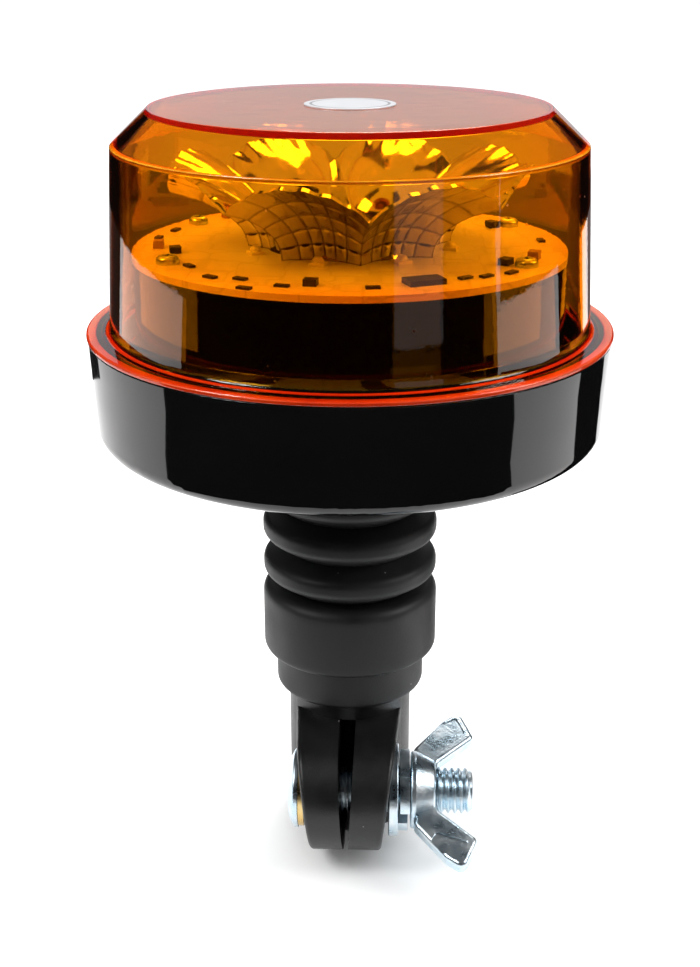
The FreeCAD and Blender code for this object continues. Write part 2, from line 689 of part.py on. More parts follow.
def board_carrier():
    """The black drum that lifts the board into the middle of the lens."""
    foot = FLOOR_Z
    inner = BOARD_R - CARRIER_WALL
    ledge_r = BOARD_R - CARRIER_LEDGE
    ledge_foot = BOARD_FOOT - CARRIER_LEDGE_THICK
    drum = revolved([(inner, foot), (BOARD_R, foot), (BOARD_R, BOARD_FOOT), (ledge_r, BOARD_FOOT),
                     (ledge_r, ledge_foot), (inner, ledge_foot)])
    stock, holes = [], []
    for degrees in board_screw_places():
        lug = cylinder(CARRIER_LUG_R, CARRIER_LEDGE_THICK, on_circle(BOARD_SCREW_RING_R, degrees, LUG_Z))
        web_r = (BOARD_SCREW_RING_R + inner) / 2 + 0.5
        web = box(inner - BOARD_SCREW_RING_R + 1, 2 * CARRIER_LUG_R, CARRIER_LEDGE_THICK, web_r, 0, LUG_Z)
        stock += [lug, turned(web, degrees)]
        post_foot = on_circle(BOARD_SCREW_RING_R, degrees, ledge_foot - CARRIER_POST)
        stock.append(cylinder(CARRIER_POST_R, CARRIER_POST, post_foot))
        thread_foot = on_circle(BOARD_SCREW_RING_R, degrees, BOARD_FOOT - BOARD_SCREW_BITE - SLACK)
        holes.append(cylinder(SCREW_R, BOARD_SCREW_BITE + 1, thread_foot))
        holes.append(cylinder(SCREW_HOLE_R, CARRIER_LEDGE_THICK + 2,
                              on_circle(BOARD_SCREW_RING_R, degrees, LUG_Z - 1)))
    return drum.multiFuse(stock).cut(solids(holes)).removeSplitter()


def carrier_screws():
    seat = LUG_Z + CARRIER_LEDGE_THICK
    return solids([screw(SCREW_HEAD_R, SCREW_HEAD, SCREW_R, CARRIER_LEDGE_THICK + CARRIER_SCREW_BITE,
                         on_circle(BOARD_SCREW_RING_R, degrees, seat)) for degrees in board_screw_places()])


def board_screws():
    return solids([screw(SCREW_HEAD_R, SCREW_HEAD, SCREW_R, BOARD + BOARD_SCREW_BITE,
                         on_circle(BOARD_SCREW_RING_R, degrees, BOARD_Z))
                   for degrees in board_screw_places()])


def lens_screws():
    seat = BASE_Z + SCREW_DEPTH
    length = PILLAR_TOP + LENS_SCREW_BITE - seat
    places = [on_circle(PILLAR_RING_R, degrees, seat) for degrees in lens_screw_places()]
    return solids([screw(SCREW_HEAD_R, SCREW_HEAD, SCREW_R, length, place, down=False) for place in places])


def neck_clamp_ring():
    plate = tube(RING_PLATE_R, RING_PLATE_HOLE_R, RING_PLATE, V(0, 0, RING_PLATE_Z))
    holes = [cylinder(SCREW_HOLE_R, RING_PLATE, on_circle(RING_SCREW_RING_R, degrees, RING_PLATE_Z))
             for degrees in ring_screw_places()]
    return plate.cut(solids(holes))


def neck_screws():
    seat = RING_PLATE_Z + RING_PLATE
    return solids([screw(SCREW_HEAD_R, SCREW_HEAD, SCREW_R, RING_PLATE + RING_SCREW_BITE,
                         on_circle(RING_SCREW_RING_R, degrees, seat)) for degrees in ring_screw_places()])


# ---- Lens ---------------------------------------------------------------------------------


def lens():
    spigot_r = base_inside_r(BASE_TOP) - SLACK
    spigot_foot = BASE_TOP - LENS_SPIGOT
    wall_foot = FLANGE_Z + LENS_FOOT
    inner_foot_r = LENS_FOOT_R - LENS_WALL
    slope = math.atan2(LENS_HEIGHT - LENS_SHOULDER, LENS_SHOULDER_R - LENS_TOP_R)
    inner_top_r = LENS_TOP_R - LENS_WALL * math.tan(slope / 2)
    inner_shoulder_r = LENS_SHOULDER_R - LENS_WALL
    inner_shoulder = LENS_SHOULDER - LENS_WALL * math.tan((math.pi / 2 - slope) / 2)
    top = FLANGE_Z + LENS_HEIGHT
    body = revolved([
        (spigot_r - LENS_WALL, spigot_foot), (spigot_r, spigot_foot, 0.4), (spigot_r, BASE_TOP),
        (LENS_FLANGE_R, BASE_TOP, 0.5), (LENS_FLANGE_R, FLANGE_Z, 0.6), (LENS_FOOT_R + 0.15, FLANGE_Z, 1.8),
        (LENS_FOOT_R, wall_foot), (LENS_SHOULDER_R, FLANGE_Z + LENS_SHOULDER, 0.6), (LENS_TOP_R, top, 0.6),
        (0, top), (0, top - LENS_WALL), (inner_top_r, top - LENS_WALL, 0.6),
        (inner_shoulder_r, FLANGE_Z + inner_shoulder, 0.6), (inner_foot_r, wall_foot),
        (spigot_r - LENS_WALL, FLANGE_Z - 1.0)])
    stock, holes = [], []
    for degrees in lens_screw_places():
        boss_foot = on_circle(PILLAR_RING_R, degrees, PILLAR_TOP)
        stock.append(cylinder(LENS_BOSS_R, BASE_TOP - PILLAR_TOP, boss_foot))
        holes.append(cylinder(SCREW_R, LENS_SCREW_BITE + SEAT_GAP, boss_foot))
    return body.multiFuse(stock).cut(solids(holes)).removeSplitter()


def lens_gasket():
    inner = base_inside_r(BASE_TOP)
    return tube(inner + GASKET_WIDTH, inner, GASKET_THICK, V(0, 0, BASE_TOP - GASKET_THICK))


def top_disc():
    return cylinder(DISC_R, DISC_THICK, V(0, 0, FLANGE_Z + LENS_HEIGHT))


# ---- Board, reflector and electronics -----------------------------------------------------


def paraboloid(start_r, half_width, height, side_focus, up_focus):
    """Everything outside an upright-halved elliptic paraboloid that opens towards +X.

    The surface is quadratic both ways, so one Bezier patch of degree 2 holds it exactly.
    """
    side_bow = half_width ** 2 / (4 * side_focus)
    up_bow = height ** 2 / (4 * up_focus)
    side_poles = [(-half_width, side_bow), (0, -side_bow), (half_width, side_bow)]
    up_poles = [(0, 0), (height / 2, 0), (height, up_bow)]
    patch = Part.BezierSurface()
    patch.increase(2, 2)
    for i, (y, side) in enumerate(side_poles, start=1):
        for j, (z, up) in enumerate(up_poles, start=1):
            patch.setPole(i, j, V(start_r + side + up, y, z))
    return patch.toShape().extrude(V(2 * REFLECTOR_R + side_bow + up_bow, 0, 0))


def petal():
    """One bay of the reflector: a thin paraboloid bowl between its two radial ridges."""
    height = 2 * math.sqrt(PETAL_FOCUS_UP * (REFLECTOR_R - PETAL_START_R)) + 3
    half_turn = math.pi / PETALS
    reach = REFLECTOR_R / math.cos(half_turn)
    half_width = reach * math.sin(half_turn) + 2
    hollow = paraboloid(PETAL_START_R, half_width, height + 4, PETAL_FOCUS_SIDE, PETAL_FOCUS_UP)
    back_start_r = PETAL_START_R - PETAL_SKIN
    skin = paraboloid(back_start_r, half_width + 1, height + 2, PETAL_FOCUS_SIDE, PETAL_FOCUS_UP)
    corner_x, corner_y = reach * math.cos(half_turn), reach * math.sin(half_turn)
    wedge = Part.Face(Part.makePolygon([
        V(0, 0, 0), V(corner_x, -corner_y, 0), V(1.2 * corner_x, 0, 0), V(corner_x, corner_y, 0), V(0, 0, 0)]))
    wedge = wedge.extrude(V(0, 0, height)).common(cylinder(REFLECTOR_R, height))
    plate = wedge.common(cylinder(PETAL_START_R + HUB_PLATE_LAP, HUB_PLATE))
    return wedge.common(skin).fuse(plate).cut(hollow)


def reflector():
    one = petal()
    foot = V(0, 0, BOARD_Z)
    turn = 180 / PETALS + REFLECTOR_TURN
    bays = [turned(one, turn + 360 * index / PETALS) for index in range(PETALS)]
    body = bays[0].multiFuse(bays[1:])
    holes = [cylinder(SCREW_R, HUB_PLATE + 1, on_circle(HUB_SCREW_RING_R, degrees, -0.5))
             for degrees in ring_screw_places()]
    return moved(body.cut(solids(holes)), foot)


def reflector_screws():
    return solids([screw(SCREW_HEAD_R, SCREW_HEAD, SCREW_R, HUB_PLATE + BOARD + HUB_SCREW_TAIL,
                         on_circle(HUB_SCREW_RING_R, degrees, BOARD_Z + HUB_PLATE))
                   for degrees in ring_screw_places()])


def led_board():
    board = cylinder(BOARD_R, BOARD, V(0, 0, BOARD_FOOT))
    holes = [cylinder(SCREW_R, BOARD, on_circle(BOARD_SCREW_RING_R, degrees, BOARD_FOOT))
             for degrees in board_screw_places()]
    holes += [cylinder(SCREW_R, BOARD, on_circle(HUB_SCREW_RING_R, degrees, BOARD_FOOT))
              for degrees in ring_screw_places()]
    return board.cut(solids(holes))


def leds():
    """One high-power LED under the middle of each petal: a square body with a domed lens."""
    lamps = []
    for index in range(PETALS):
        degrees = REFLECTOR_TURN + 360 * (index + 0.5) / PETALS
        body = box(LED_SIZE, LED_SIZE, LED_BODY, LED_RING_R, 0, BOARD_Z)
        dome = Part.makeSphere(LED_DOME_R, V(LED_RING_R, 0, BOARD_Z + LED_BODY), AXIS_Z, 0, 90, 360)
        lamps.append(turned(body.fuse(dome), degrees))
    return solids(lamps)


# Direction in degrees and distance in from the board's edge of the parts on its open rim.
DRIVER_PLACES = [(-67, 8.5), (113, 8.5)]
DRIVER_SIZE = (8.4, 5.0, 1.2)
SWITCH_PLACES = [(-164, 10.2), (-99, 8.8), (-31, 10.6), (31, 10.6)]
SWITCH_SIZE = (3.0, 2.6, 1.5)
RESISTOR_PLACES = [(-143, 8.6), (-128, 5.5), (-120, 8.0), (-113.6, 1.2), (-106, 6.0), (-82, 6.4), (-54, 8.0),
                   (-48, 6.5), (-40, 5.0), (-12, 8.3), (5, 5.5), (75, 4.4), (95, 6.0), (128, 4.4),
                   (163, 5.4), (175, 4.6)]
RESISTOR_SIZE = (3.2, 1.6, 0.55)
CAPACITOR_PLACES = [(-172, 6.4), (-20, 6.9), (60, 6.4), (136, 6.0)]
CAPACITOR_SIZE = (3.2, 2.5, 1.9)


def board_parts(places, size):
    """Boxes on the board, each with its length along the rim."""
    length, width, height = size
    return [turned(box(width, length, height, BOARD_R - inset, 0, BOARD_Z), degrees)
            for degrees, inset in places]


def driver_chips():
    return solids(board_parts(DRIVER_PLACES, DRIVER_SIZE) + board_parts(SWITCH_PLACES, SWITCH_SIZE))


def chip_resistors():
    return solids(board_parts(RESISTOR_PLACES, RESISTOR_SIZE))


def capacitors():
    return solids(board_parts(CAPACITOR_PLACES, CAPACITOR_SIZE))


def board_connector():
    length, width, height = CONNECTOR
    return box(length, width, height, 0, 0, lead_top())


# ---- The assembly -------------------------------------------------------------------------

PIECES = [
    pole_socket, contact_holder, centre_contact, contact_spring, earth_contact,
    clamp_bolt, head_washer, flat_washer, spring_washer, wing_nut,
    flexible_neck, positive_lead, earth_lead,
    base_housing, neck_clamp_ring, neck_screws, board_carrier, carrier_screws,
    led_board, board_screws, leds, driver_chips, chip_resistors, capacitors, board_connector,
    reflector, reflector_screws, lens, lens_gasket, lens_screws, top_disc,
]


def main():
    os.makedirs("parts", exist_ok=True)
    for piece in PIECES:
        shape = piece()
        name = piece.__name__
        shape.exportStep(os.path.join("parts", name + ".step"))
        bounds = shape.BoundBox
        print(f"{name}: {len(shape.Solids)} solid(s), {shape.Volume:.0f} mm3, valid {shape.isValid()}, "
              f"x {bounds.XMin:.1f}..{bounds.XMax:.1f} y {bounds.YMin:.1f}..{bounds.YMax:.1f} "
              f"z {bounds.ZMin:.1f}..{bounds.ZMax:.1f}")


main()
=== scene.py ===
"""Amber LED warning beacon on a flexible neck with a clamping pole socket.

Metres, +Z up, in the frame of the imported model: the origin is on the axis of the pole bore, at the
mouth of the socket. Each sub-assembly is a class with its sizes as fields, in millimetres and
degrees; the finishes and the studio are in metres. main() builds them in turn.
"""
from __future__ import annotations

import json
import logging
import math
from dataclasses import dataclass
from enum import Enum
from typing import Any, Iterable, Sequence

import bmesh
import bpy
from mathutils import Matrix, Vector
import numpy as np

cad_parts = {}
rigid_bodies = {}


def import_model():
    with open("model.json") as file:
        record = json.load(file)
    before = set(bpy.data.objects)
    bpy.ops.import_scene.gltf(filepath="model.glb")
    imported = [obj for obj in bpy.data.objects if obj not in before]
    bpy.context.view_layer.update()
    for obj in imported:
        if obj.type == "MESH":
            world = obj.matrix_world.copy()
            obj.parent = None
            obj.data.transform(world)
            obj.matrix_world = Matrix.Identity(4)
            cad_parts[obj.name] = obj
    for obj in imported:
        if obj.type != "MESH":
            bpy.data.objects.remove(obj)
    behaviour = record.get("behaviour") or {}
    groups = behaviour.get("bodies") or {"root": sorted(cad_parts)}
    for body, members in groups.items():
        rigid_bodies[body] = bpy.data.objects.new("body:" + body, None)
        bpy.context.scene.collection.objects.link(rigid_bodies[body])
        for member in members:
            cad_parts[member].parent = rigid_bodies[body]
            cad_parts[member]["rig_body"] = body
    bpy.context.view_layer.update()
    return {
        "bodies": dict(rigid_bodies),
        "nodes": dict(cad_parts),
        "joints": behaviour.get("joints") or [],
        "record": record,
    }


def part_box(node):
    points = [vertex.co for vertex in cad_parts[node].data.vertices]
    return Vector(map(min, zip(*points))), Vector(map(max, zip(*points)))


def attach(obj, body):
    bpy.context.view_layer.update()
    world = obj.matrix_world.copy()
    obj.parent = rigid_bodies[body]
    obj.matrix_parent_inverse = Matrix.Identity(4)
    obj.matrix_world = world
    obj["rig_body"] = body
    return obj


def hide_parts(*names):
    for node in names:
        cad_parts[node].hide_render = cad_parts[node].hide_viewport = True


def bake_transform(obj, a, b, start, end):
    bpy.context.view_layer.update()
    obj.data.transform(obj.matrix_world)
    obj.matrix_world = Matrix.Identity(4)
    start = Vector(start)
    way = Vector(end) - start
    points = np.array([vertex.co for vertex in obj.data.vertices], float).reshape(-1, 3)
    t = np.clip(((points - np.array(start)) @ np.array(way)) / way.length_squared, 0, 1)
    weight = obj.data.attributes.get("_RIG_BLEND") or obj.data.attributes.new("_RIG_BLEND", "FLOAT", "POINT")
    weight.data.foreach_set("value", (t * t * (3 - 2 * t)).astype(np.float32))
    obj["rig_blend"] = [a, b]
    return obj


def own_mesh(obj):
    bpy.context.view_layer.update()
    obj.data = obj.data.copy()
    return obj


LOG = logging.getLogger("beacon")
MM = 0.001
ON_AXIS = 1e-6  # a radius smaller than this, in millimetres, is on the axis
STRAIGHT = 1e-4  # a corner this near to half a turn, in radians, is no corner
UNBOWED = 1e-9  # a smaller bow, in 1/mm, is a straight line
MOST_OF_SIDE = 0.49  # the share of its shorter side that a rounding may use up
WELD = 2e-6  # points nearer to each other than this, in metres, are merged
SMOOTH_ANGLE = math.radians(32)
FACET_ANGLE = math.radians(38)
SOFT_ANGLE = math.radians(50)
WHITE = (1.0, 1.0, 1.0, 1.0)
Point = tuple[float, float, float]
Colour = tuple[float, float, float]


# ---- Meshes -------------------------------------------------------------------------------


@dataclass(frozen=True)
class Corner:
    """A corner of a turned outline: its radius, its height and its rounding, in millimetres."""

    radius: float
    height: float
    rounding: float = 0.0


def rounded_corner(here: Vector, back: Vector, ahead: Vector, rounding: float,
                   steps: int) -> list[Vector]:
    """The points that round off one corner.

    Args:
        here: the corner.
        back: the way from it to the corner before.
        ahead: the way from it to the corner after.
        rounding: the radius that it gets where its sides are long enough.
        steps: how many pieces the rounding has.

    Returns:
        The points in order, or the corner alone where the outline runs straight on.
    """
    turn = back.angle(ahead)
    if abs(turn - math.pi) < STRAIGHT:
        return [here]
    reach = min(rounding / math.tan(turn / 2), MOST_OF_SIDE * min(back.length, ahead.length))
    radius = reach * math.tan(turn / 2)
    start, end = here + back.normalized() * reach, here + ahead.normalized() * reach
    bisector = (back.normalized() + ahead.normalized()).normalized()
    centre = here + bisector * math.hypot(reach, radius)
    first, last = start - centre, end - centre
    sweep = first.angle_signed(last)
    points: list[Vector] = []
    for step in range(steps + 1):
        angle = -sweep * (step / steps)
        rotated = Vector((first.x * math.cos(angle) - first.y * math.sin(angle),
                          first.x * math.sin(angle) + first.y * math.cos(angle)))
        points.append(centre + rotated)
    return points


def rounded_outline(corners: Sequence[Corner], closed: bool = True, steps: int = 7,
                    longest: float = 6.0) -> list[tuple[float, float]]:
    """Points along an outline whose corners are rounded.

    Args:
        corners: the outline's corners, in order.
        closed: whether the last corner joins the first.
        steps: how many pieces each rounded corner has.
        longest: the longest run left undivided, in millimetres.

    Returns:
        (radius, height) points in millimetres.
    """
    count = len(corners)
    places = [Vector((c.radius, c.height)) for c in corners]
    points: list[Vector] = []
    for index, corner in enumerate(corners):
        here = places[index]
        open_end = not closed and index in (0, count - 1)
        if open_end or corner.rounding <= 0:
            points.append(here)
            continue
        back, ahead = places[index - 1] - here, places[(index + 1) % count] - here
        points += rounded_corner(here, back, ahead, corner.rounding, steps)
    runs: list[tuple[float, float]] = []
    last_index = len(points) if closed else len(points) - 1
    for index in range(last_index):
        here, following = points[index], points[(index + 1) % len(points)]
        pieces = max(1, math.ceil((following - here).length / longest))
        runs += [tuple(here.lerp(following, piece / pieces)) for piece in range(pieces)]
    if not closed:
        runs.append(tuple(points[-1]))
    return runs


def turned_mesh(name: str, outline: Sequence[tuple[float, float]], closed: bool = True,
                segments: int = 128) -> bpy.types.Mesh:
    """A mesh turned about Z from an outline.

    Args:
        name: the mesh's name.
        outline: (radius, height) points in millimetres.
        closed: whether the outline's last point joins its first.
        segments: how many steps there are round the axis.

    Returns:
        The mesh, in metres, with its faces pointing outwards.
    """
    verts: list[Point] = []
    rings: list[list[int]] = []
    for radius, height in outline:
        first = len(verts)
        if radius < ON_AXIS:
            verts.append((0.0, 0.0, height * MM))
            rings.append([first] * segments)
            continue
        for step in range(segments):
            angle = 2 * math.pi * step / segments
            verts.append((radius * MM * math.cos(angle), radius * MM * math.sin(angle),
                          height * MM))
        rings.append(list(range(first, first + segments)))
    faces: list[list[int]] = []
    pairs = list(zip(rings, rings[1:])) + ([(rings[-1], rings[0])] if closed else [])
    for low, high in pairs:
        for step in range(segments):
            following = (step + 1) % segments
            corners = [low[step], low[following], high[following], high[step]]
            unique = list(dict.fromkeys(corners))
            if len(unique) > 2:
                faces.append(unique)
    mesh = bpy.data.meshes.new(name)
    mesh.from_pydata(verts, [], faces)
    return settled(mesh)


def settled(mesh: bpy.types.Mesh, recalculate: bool = True,
            angle: float = SMOOTH_ANGLE) -> bpy.types.Mesh:
    """Merges a mesh's doubles, points its faces outwards, and shades it smooth up to an angle.

    Args:
        mesh: the mesh to settle.
        recalculate: whether its normals are worked out again.
        angle: the sharpest edge that is still shaded smooth, in radians.

    Returns:
        The same mesh.
    """
    work = bmesh.new()
    work.from_mesh(mesh)
    bmesh.ops.remove_doubles(work, verts=work.verts, dist=WELD)
    if recalculate:
        bmesh.ops.recalc_face_normals(work, faces=work.faces)
    work.to_mesh(mesh)
    work.free()
    mesh.shade_smooth()
    mesh.set_sharp_from_angle(angle=angle)
    return mesh


def close_ends(mesh: bpy.types.Mesh) -> bpy.types.Mesh:
    """Closes each open loop of a mesh with one face.

    Args:
        mesh: the mesh to close.

    Returns:
        The same mesh.
    """
    work = bmesh.new()
    work.from_mesh(mesh)
    rim = [edge for edge in work.edges if edge.is_boundary]
    bmesh.ops.holes_fill(work, edges=rim, sides=0)
    work.to_mesh(mesh)
    work.free()
    return mesh


def joined(name: str, meshes: Iterable[bpy.types.Mesh]) -> bpy.types.Mesh:
    """One mesh from several, which are used up; their material places are kept.

    Args:
        name: the new mesh's name.
        meshes: the meshes to join.

    Returns:
        The new mesh.
    """
    work = bmesh.new()
    for mesh in meshes:
        work.from_mesh(mesh)
        bpy.data.meshes.remove(mesh)
    whole = bpy.data.meshes.new(name)
    work.to_mesh(whole)
    work.free()
    return whole


def mesh_of(piece: bpy.types.Object) -> bpy.types.Mesh:
    """Takes the mesh from a helper object, and the helper away.

    Args:
        piece: the helper.

    Returns:
        Its mesh.
    """
    mesh = piece.data
    bpy.data.objects.remove(piece)
    return mesh


def box_mesh(name: str, size: Vector, centre: Vector, bevel: float,
             steps: int = 2) -> bpy.types.Mesh:
    """A block with bevelled edges, in metres.

    Args:
        name: the mesh's name.
        size: its three lengths.
        centre: the middle of the block.
        bevel: the width of its bevelled edges.
        steps: how many pieces each bevel has.

    Returns:
        The block's mesh.
    """
    work = bmesh.new()
    bmesh.ops.create_cube(work, size=1.0)
    for vert in work.verts:
        vert.co = Vector((vert.co.x * size.x, vert.co.y * size.y, vert.co.z * size.z)) + centre
    bmesh.ops.bevel(work, geom=work.edges[:], offset=bevel, segments=steps, affect="EDGES",
                    profile=0.5)
    mesh = bpy.data.meshes.new(name)
    work.to_mesh(mesh)
    work.free()
    return settled(mesh)


def new_object(name: str, mesh: bpy.types.Mesh,
               *materials: bpy.types.Material) -> bpy.types.Object:
    """An object at the origin that shows a mesh in its materials.

    Args:
        name: the name that the object and its mesh get.
        mesh: the mesh, in place.
        materials: the materials for its faces.

    Returns:
        The new object.
    """
    mesh.name = name
    for material in materials:
        mesh.materials.append(material)
    piece = bpy.data.objects.new(name, mesh)
    bpy.context.scene.collection.objects.link(piece)
    return piece


def with_modifiers_applied(piece: bpy.types.Object) -> bpy.types.Object:
    """Turns what a piece's modifiers make into its own plain mesh.

    Args:
        piece: the object with the modifiers.

    Returns:
        The same object, without modifiers.
    """
    bpy.context.view_layer.update()
    graph = bpy.context.evaluated_depsgraph_get()
    result = bpy.data.meshes.new_from_object(
        piece.evaluated_get(graph), preserve_all_data_layers=True, depsgraph=graph)
    piece.modifiers.clear()
    old = piece.data
    piece.data = result
    result.name = piece.name
    bpy.data.meshes.remove(old)
    return piece


# ---- Node trees ---------------------------------------------------------------------------


class Nodes:
    """Adds nodes to a tree and feeds their inputs."""

    def __init__(self, tree: bpy.types.NodeTree) -> None:
        """Keeps the tree that the nodes go into."""
        self.tree = tree

    def add(self, kind: str, inputs: dict[Any, Any] | None = None,
            **options: Any) -> bpy.types.Node:
        """Adds one node.

        Args:
            kind: the node's Blender type.
            inputs: socket name or number to a value, or to the output socket that feeds it.
            options: the node's own settings.

        Returns:
            The new node.
        """
        node = self.tree.nodes.new(kind)
        for name, value in options.items():
            setattr(node, name, value)
        for key, value in (inputs or {}).items():
            if isinstance(value, bpy.types.NodeSocket):
                self.tree.links.new(value, node.inputs[key])
            else:
                node.inputs[key].default_value = value
        return node

    def math(self, operation: str, first: Any, second: Any = 0.0,
             third: Any = 0.0) -> bpy.types.NodeSocket:
        """The output of one Math node."""
        node = self.add("ShaderNodeMath", {0: first, 1: second, 2: third}, operation=operation)
        return node.outputs[0]

    def mix_colour(self, factor: Any, first: Any, second: Any) -> bpy.types.NodeSocket:
        """The output of one colour Mix node."""
        node = self.add("ShaderNodeMix", {0: factor, 6: first, 7: second}, data_type="RGBA")
        return node.outputs[2]

    def in_range(self, value: Any, low: Any, high: Any, from_low: float = 0.0,
                 from_high: float = 1.0) -> bpy.types.NodeSocket:
        """The output of one Map Range node."""
        node = self.add("ShaderNodeMapRange", {
            "Value": value, "From Min": from_low, "From Max": from_high, "To Min": low,
            "To Max": high})
        return node.outputs["Result"]

    def object_place(self) -> bpy.types.NodeSocket:
        """The place on the piece, in the object's own coordinates."""
        return self.add("ShaderNodeTexCoord").outputs["Object"]

    def parts_of(self, place: bpy.types.NodeSocket) -> Any:
        """The outputs X, Y and Z of a place."""
        return self.add("ShaderNodeSeparateXYZ", {0: place}).outputs

    def background_seen(self) -> bpy.types.NodeSocket:
        """Tells looks at the stage from plain light.

        Returns:
            1 where an eye, a reflection or clear plastic looks at the stage, and 0 elsewhere.
        """
        path = self.add("ShaderNodeLightPath").outputs
        looked_at = self.math("MAXIMUM", path["Is Camera Ray"], path["Is Glossy Ray"])
        return self.math("MAXIMUM", looked_at, path["Is Transmission Ray"])


def new_material(name: str) -> tuple[bpy.types.Material, Nodes]:
    """An empty material and its nodes.

    Args:
        name: the material's name.

    Returns:
        The material, and what adds nodes to it.
    """
    material = bpy.data.materials.new(name)
    material.use_nodes = True
    material.node_tree.nodes.clear()
    return material, Nodes(material.node_tree)


def rgba(colour: Colour) -> tuple[float, float, float, float]:
    """A colour with full alpha."""
    return (*colour, 1.0)


class GeometryTree:
    """A Geometry Nodes tree that is put on a piece, given its sizes by name, and applied."""

    name = "tree"
    sizes: dict[str, str] = {}

    def __init__(self) -> None:
        """Makes the tree's sockets and nodes."""
        self.tree = bpy.data.node_groups.new(self.name, "GeometryNodeTree")
        face = self.tree.interface
        face.new_socket("Geometry", in_out="INPUT", socket_type="NodeSocketGeometry")
        for size, kind in self.sizes.items():
            face.new_socket(size, in_out="INPUT", socket_type=kind)
        face.new_socket("Material", in_out="INPUT", socket_type="NodeSocketMaterial")
        face.new_socket("Geometry", in_out="OUTPUT", socket_type="NodeSocketGeometry")
        self.nodes = Nodes(self.tree)
        self.entry = self.nodes.add("NodeGroupInput").outputs
        shape = self.build()
        real = self.nodes.add("GeometryNodeRealizeInstances", {"Geometry": shape}).outputs[0]
        dressed = self.nodes.add("GeometryNodeSetMaterial",
                                 {"Geometry": real, "Material": self.entry["Material"]}).outputs[0]
        self.nodes.add("NodeGroupOutput", {"Geometry": dressed})

    def build(self) -> bpy.types.NodeSocket:
        """The tree's own nodes, up to the geometry that is made real."""
        raise NotImplementedError

    def apply(self, piece: bpy.types.Object, material: bpy.types.Material,
              **sizes: Any) -> bpy.types.Object:
        """Puts the tree on a piece and turns the result into a plain mesh.

        Args:
            piece: the object whose mesh goes in.
            material: the finish of what comes out.
            sizes: the tree's inputs, with underscores for spaces.

        Returns:
            The same object with its new mesh.
        """
        modifier = piece.modifiers.new(self.name, "NODES")
        modifier.node_group = self.tree
        values = {key.replace("_", " "): value for key, value in sizes.items()}
        values["Material"] = material
        for item in self.tree.interface.items_tree:
            if item.item_type == "SOCKET" and item.in_out == "INPUT" and item.name in values:
                modifier[item.identifier] = values[item.name]
        return with_modifiers_applied(piece)


class RingOfParts(GeometryTree):
    """Stands copies of the mesh that comes in round the axis: screws, lamps, pillars, petals."""

    name = "ring_of_parts"
    sizes = {"Count": "NodeSocketInt", "Radius": "NodeSocketFloat", "Start": "NodeSocketFloat",
             "Height": "NodeSocketFloat"}

    def build(self) -> bpy.types.NodeSocket:
        """Points on a circle, each with a copy turned to face outwards.

        Returns:
            The copies, not yet real.
        """
        nodes, entry = self.nodes, self.entry
        step = nodes.math("DIVIDE", 2 * math.pi, entry["Count"])
        index = nodes.add("GeometryNodeInputIndex").outputs[0]
        angle = nodes.math("ADD", nodes.math("MULTIPLY", index, step), entry["Start"])
        across = nodes.math("MULTIPLY", nodes.math("COSINE", angle), entry["Radius"])
        along = nodes.math("MULTIPLY", nodes.math("SINE", angle), entry["Radius"])
        place = nodes.add("ShaderNodeCombineXYZ",
                          {"X": across, "Y": along, "Z": entry["Height"]}).outputs[0]
        points = nodes.add("GeometryNodePoints",
                           {"Count": entry["Count"], "Position": place}).outputs[0]
        euler = nodes.add("ShaderNodeCombineXYZ", {"Z": angle}).outputs[0]
        turn = nodes.add("FunctionNodeEulerToRotation", {0: euler}).outputs[0]
        return nodes.add("GeometryNodeInstanceOnPoints", {
            "Points": points, "Instance": entry["Geometry"], "Rotation": turn}).outputs[0]


class StackOfRings(GeometryTree):
    """Stacks copies of one bellows ring along the axis and welds them into one skin."""

    name = "stack_of_rings"
    sizes = {"Count": "NodeSocketInt", "Pitch": "NodeSocketFloat", "Height": "NodeSocketFloat"}

    def build(self) -> bpy.types.NodeSocket:
        """Points up the axis, with a ring on each.

        Returns:
            The rings as one welded skin.
        """
        nodes, entry = self.nodes, self.entry
        index = nodes.add("GeometryNodeInputIndex").outputs[0]
        rise = nodes.math("ADD", nodes.math("MULTIPLY", index, entry["Pitch"]), entry["Height"])
        place = nodes.add("ShaderNodeCombineXYZ", {"Z": rise}).outputs[0]
        points = nodes.add("GeometryNodePoints",
                           {"Count": entry["Count"], "Position": place}).outputs[0]
        rings = nodes.add("GeometryNodeInstanceOnPoints",
                          {"Points": points, "Instance": entry["Geometry"]}).outputs[0]
        real = nodes.add("GeometryNodeRealizeInstances", {"Geometry": rings}).outputs[0]
        return nodes.add("GeometryNodeMergeByDistance",
                         {"Geometry": real, "Distance": WELD}).outputs[0]


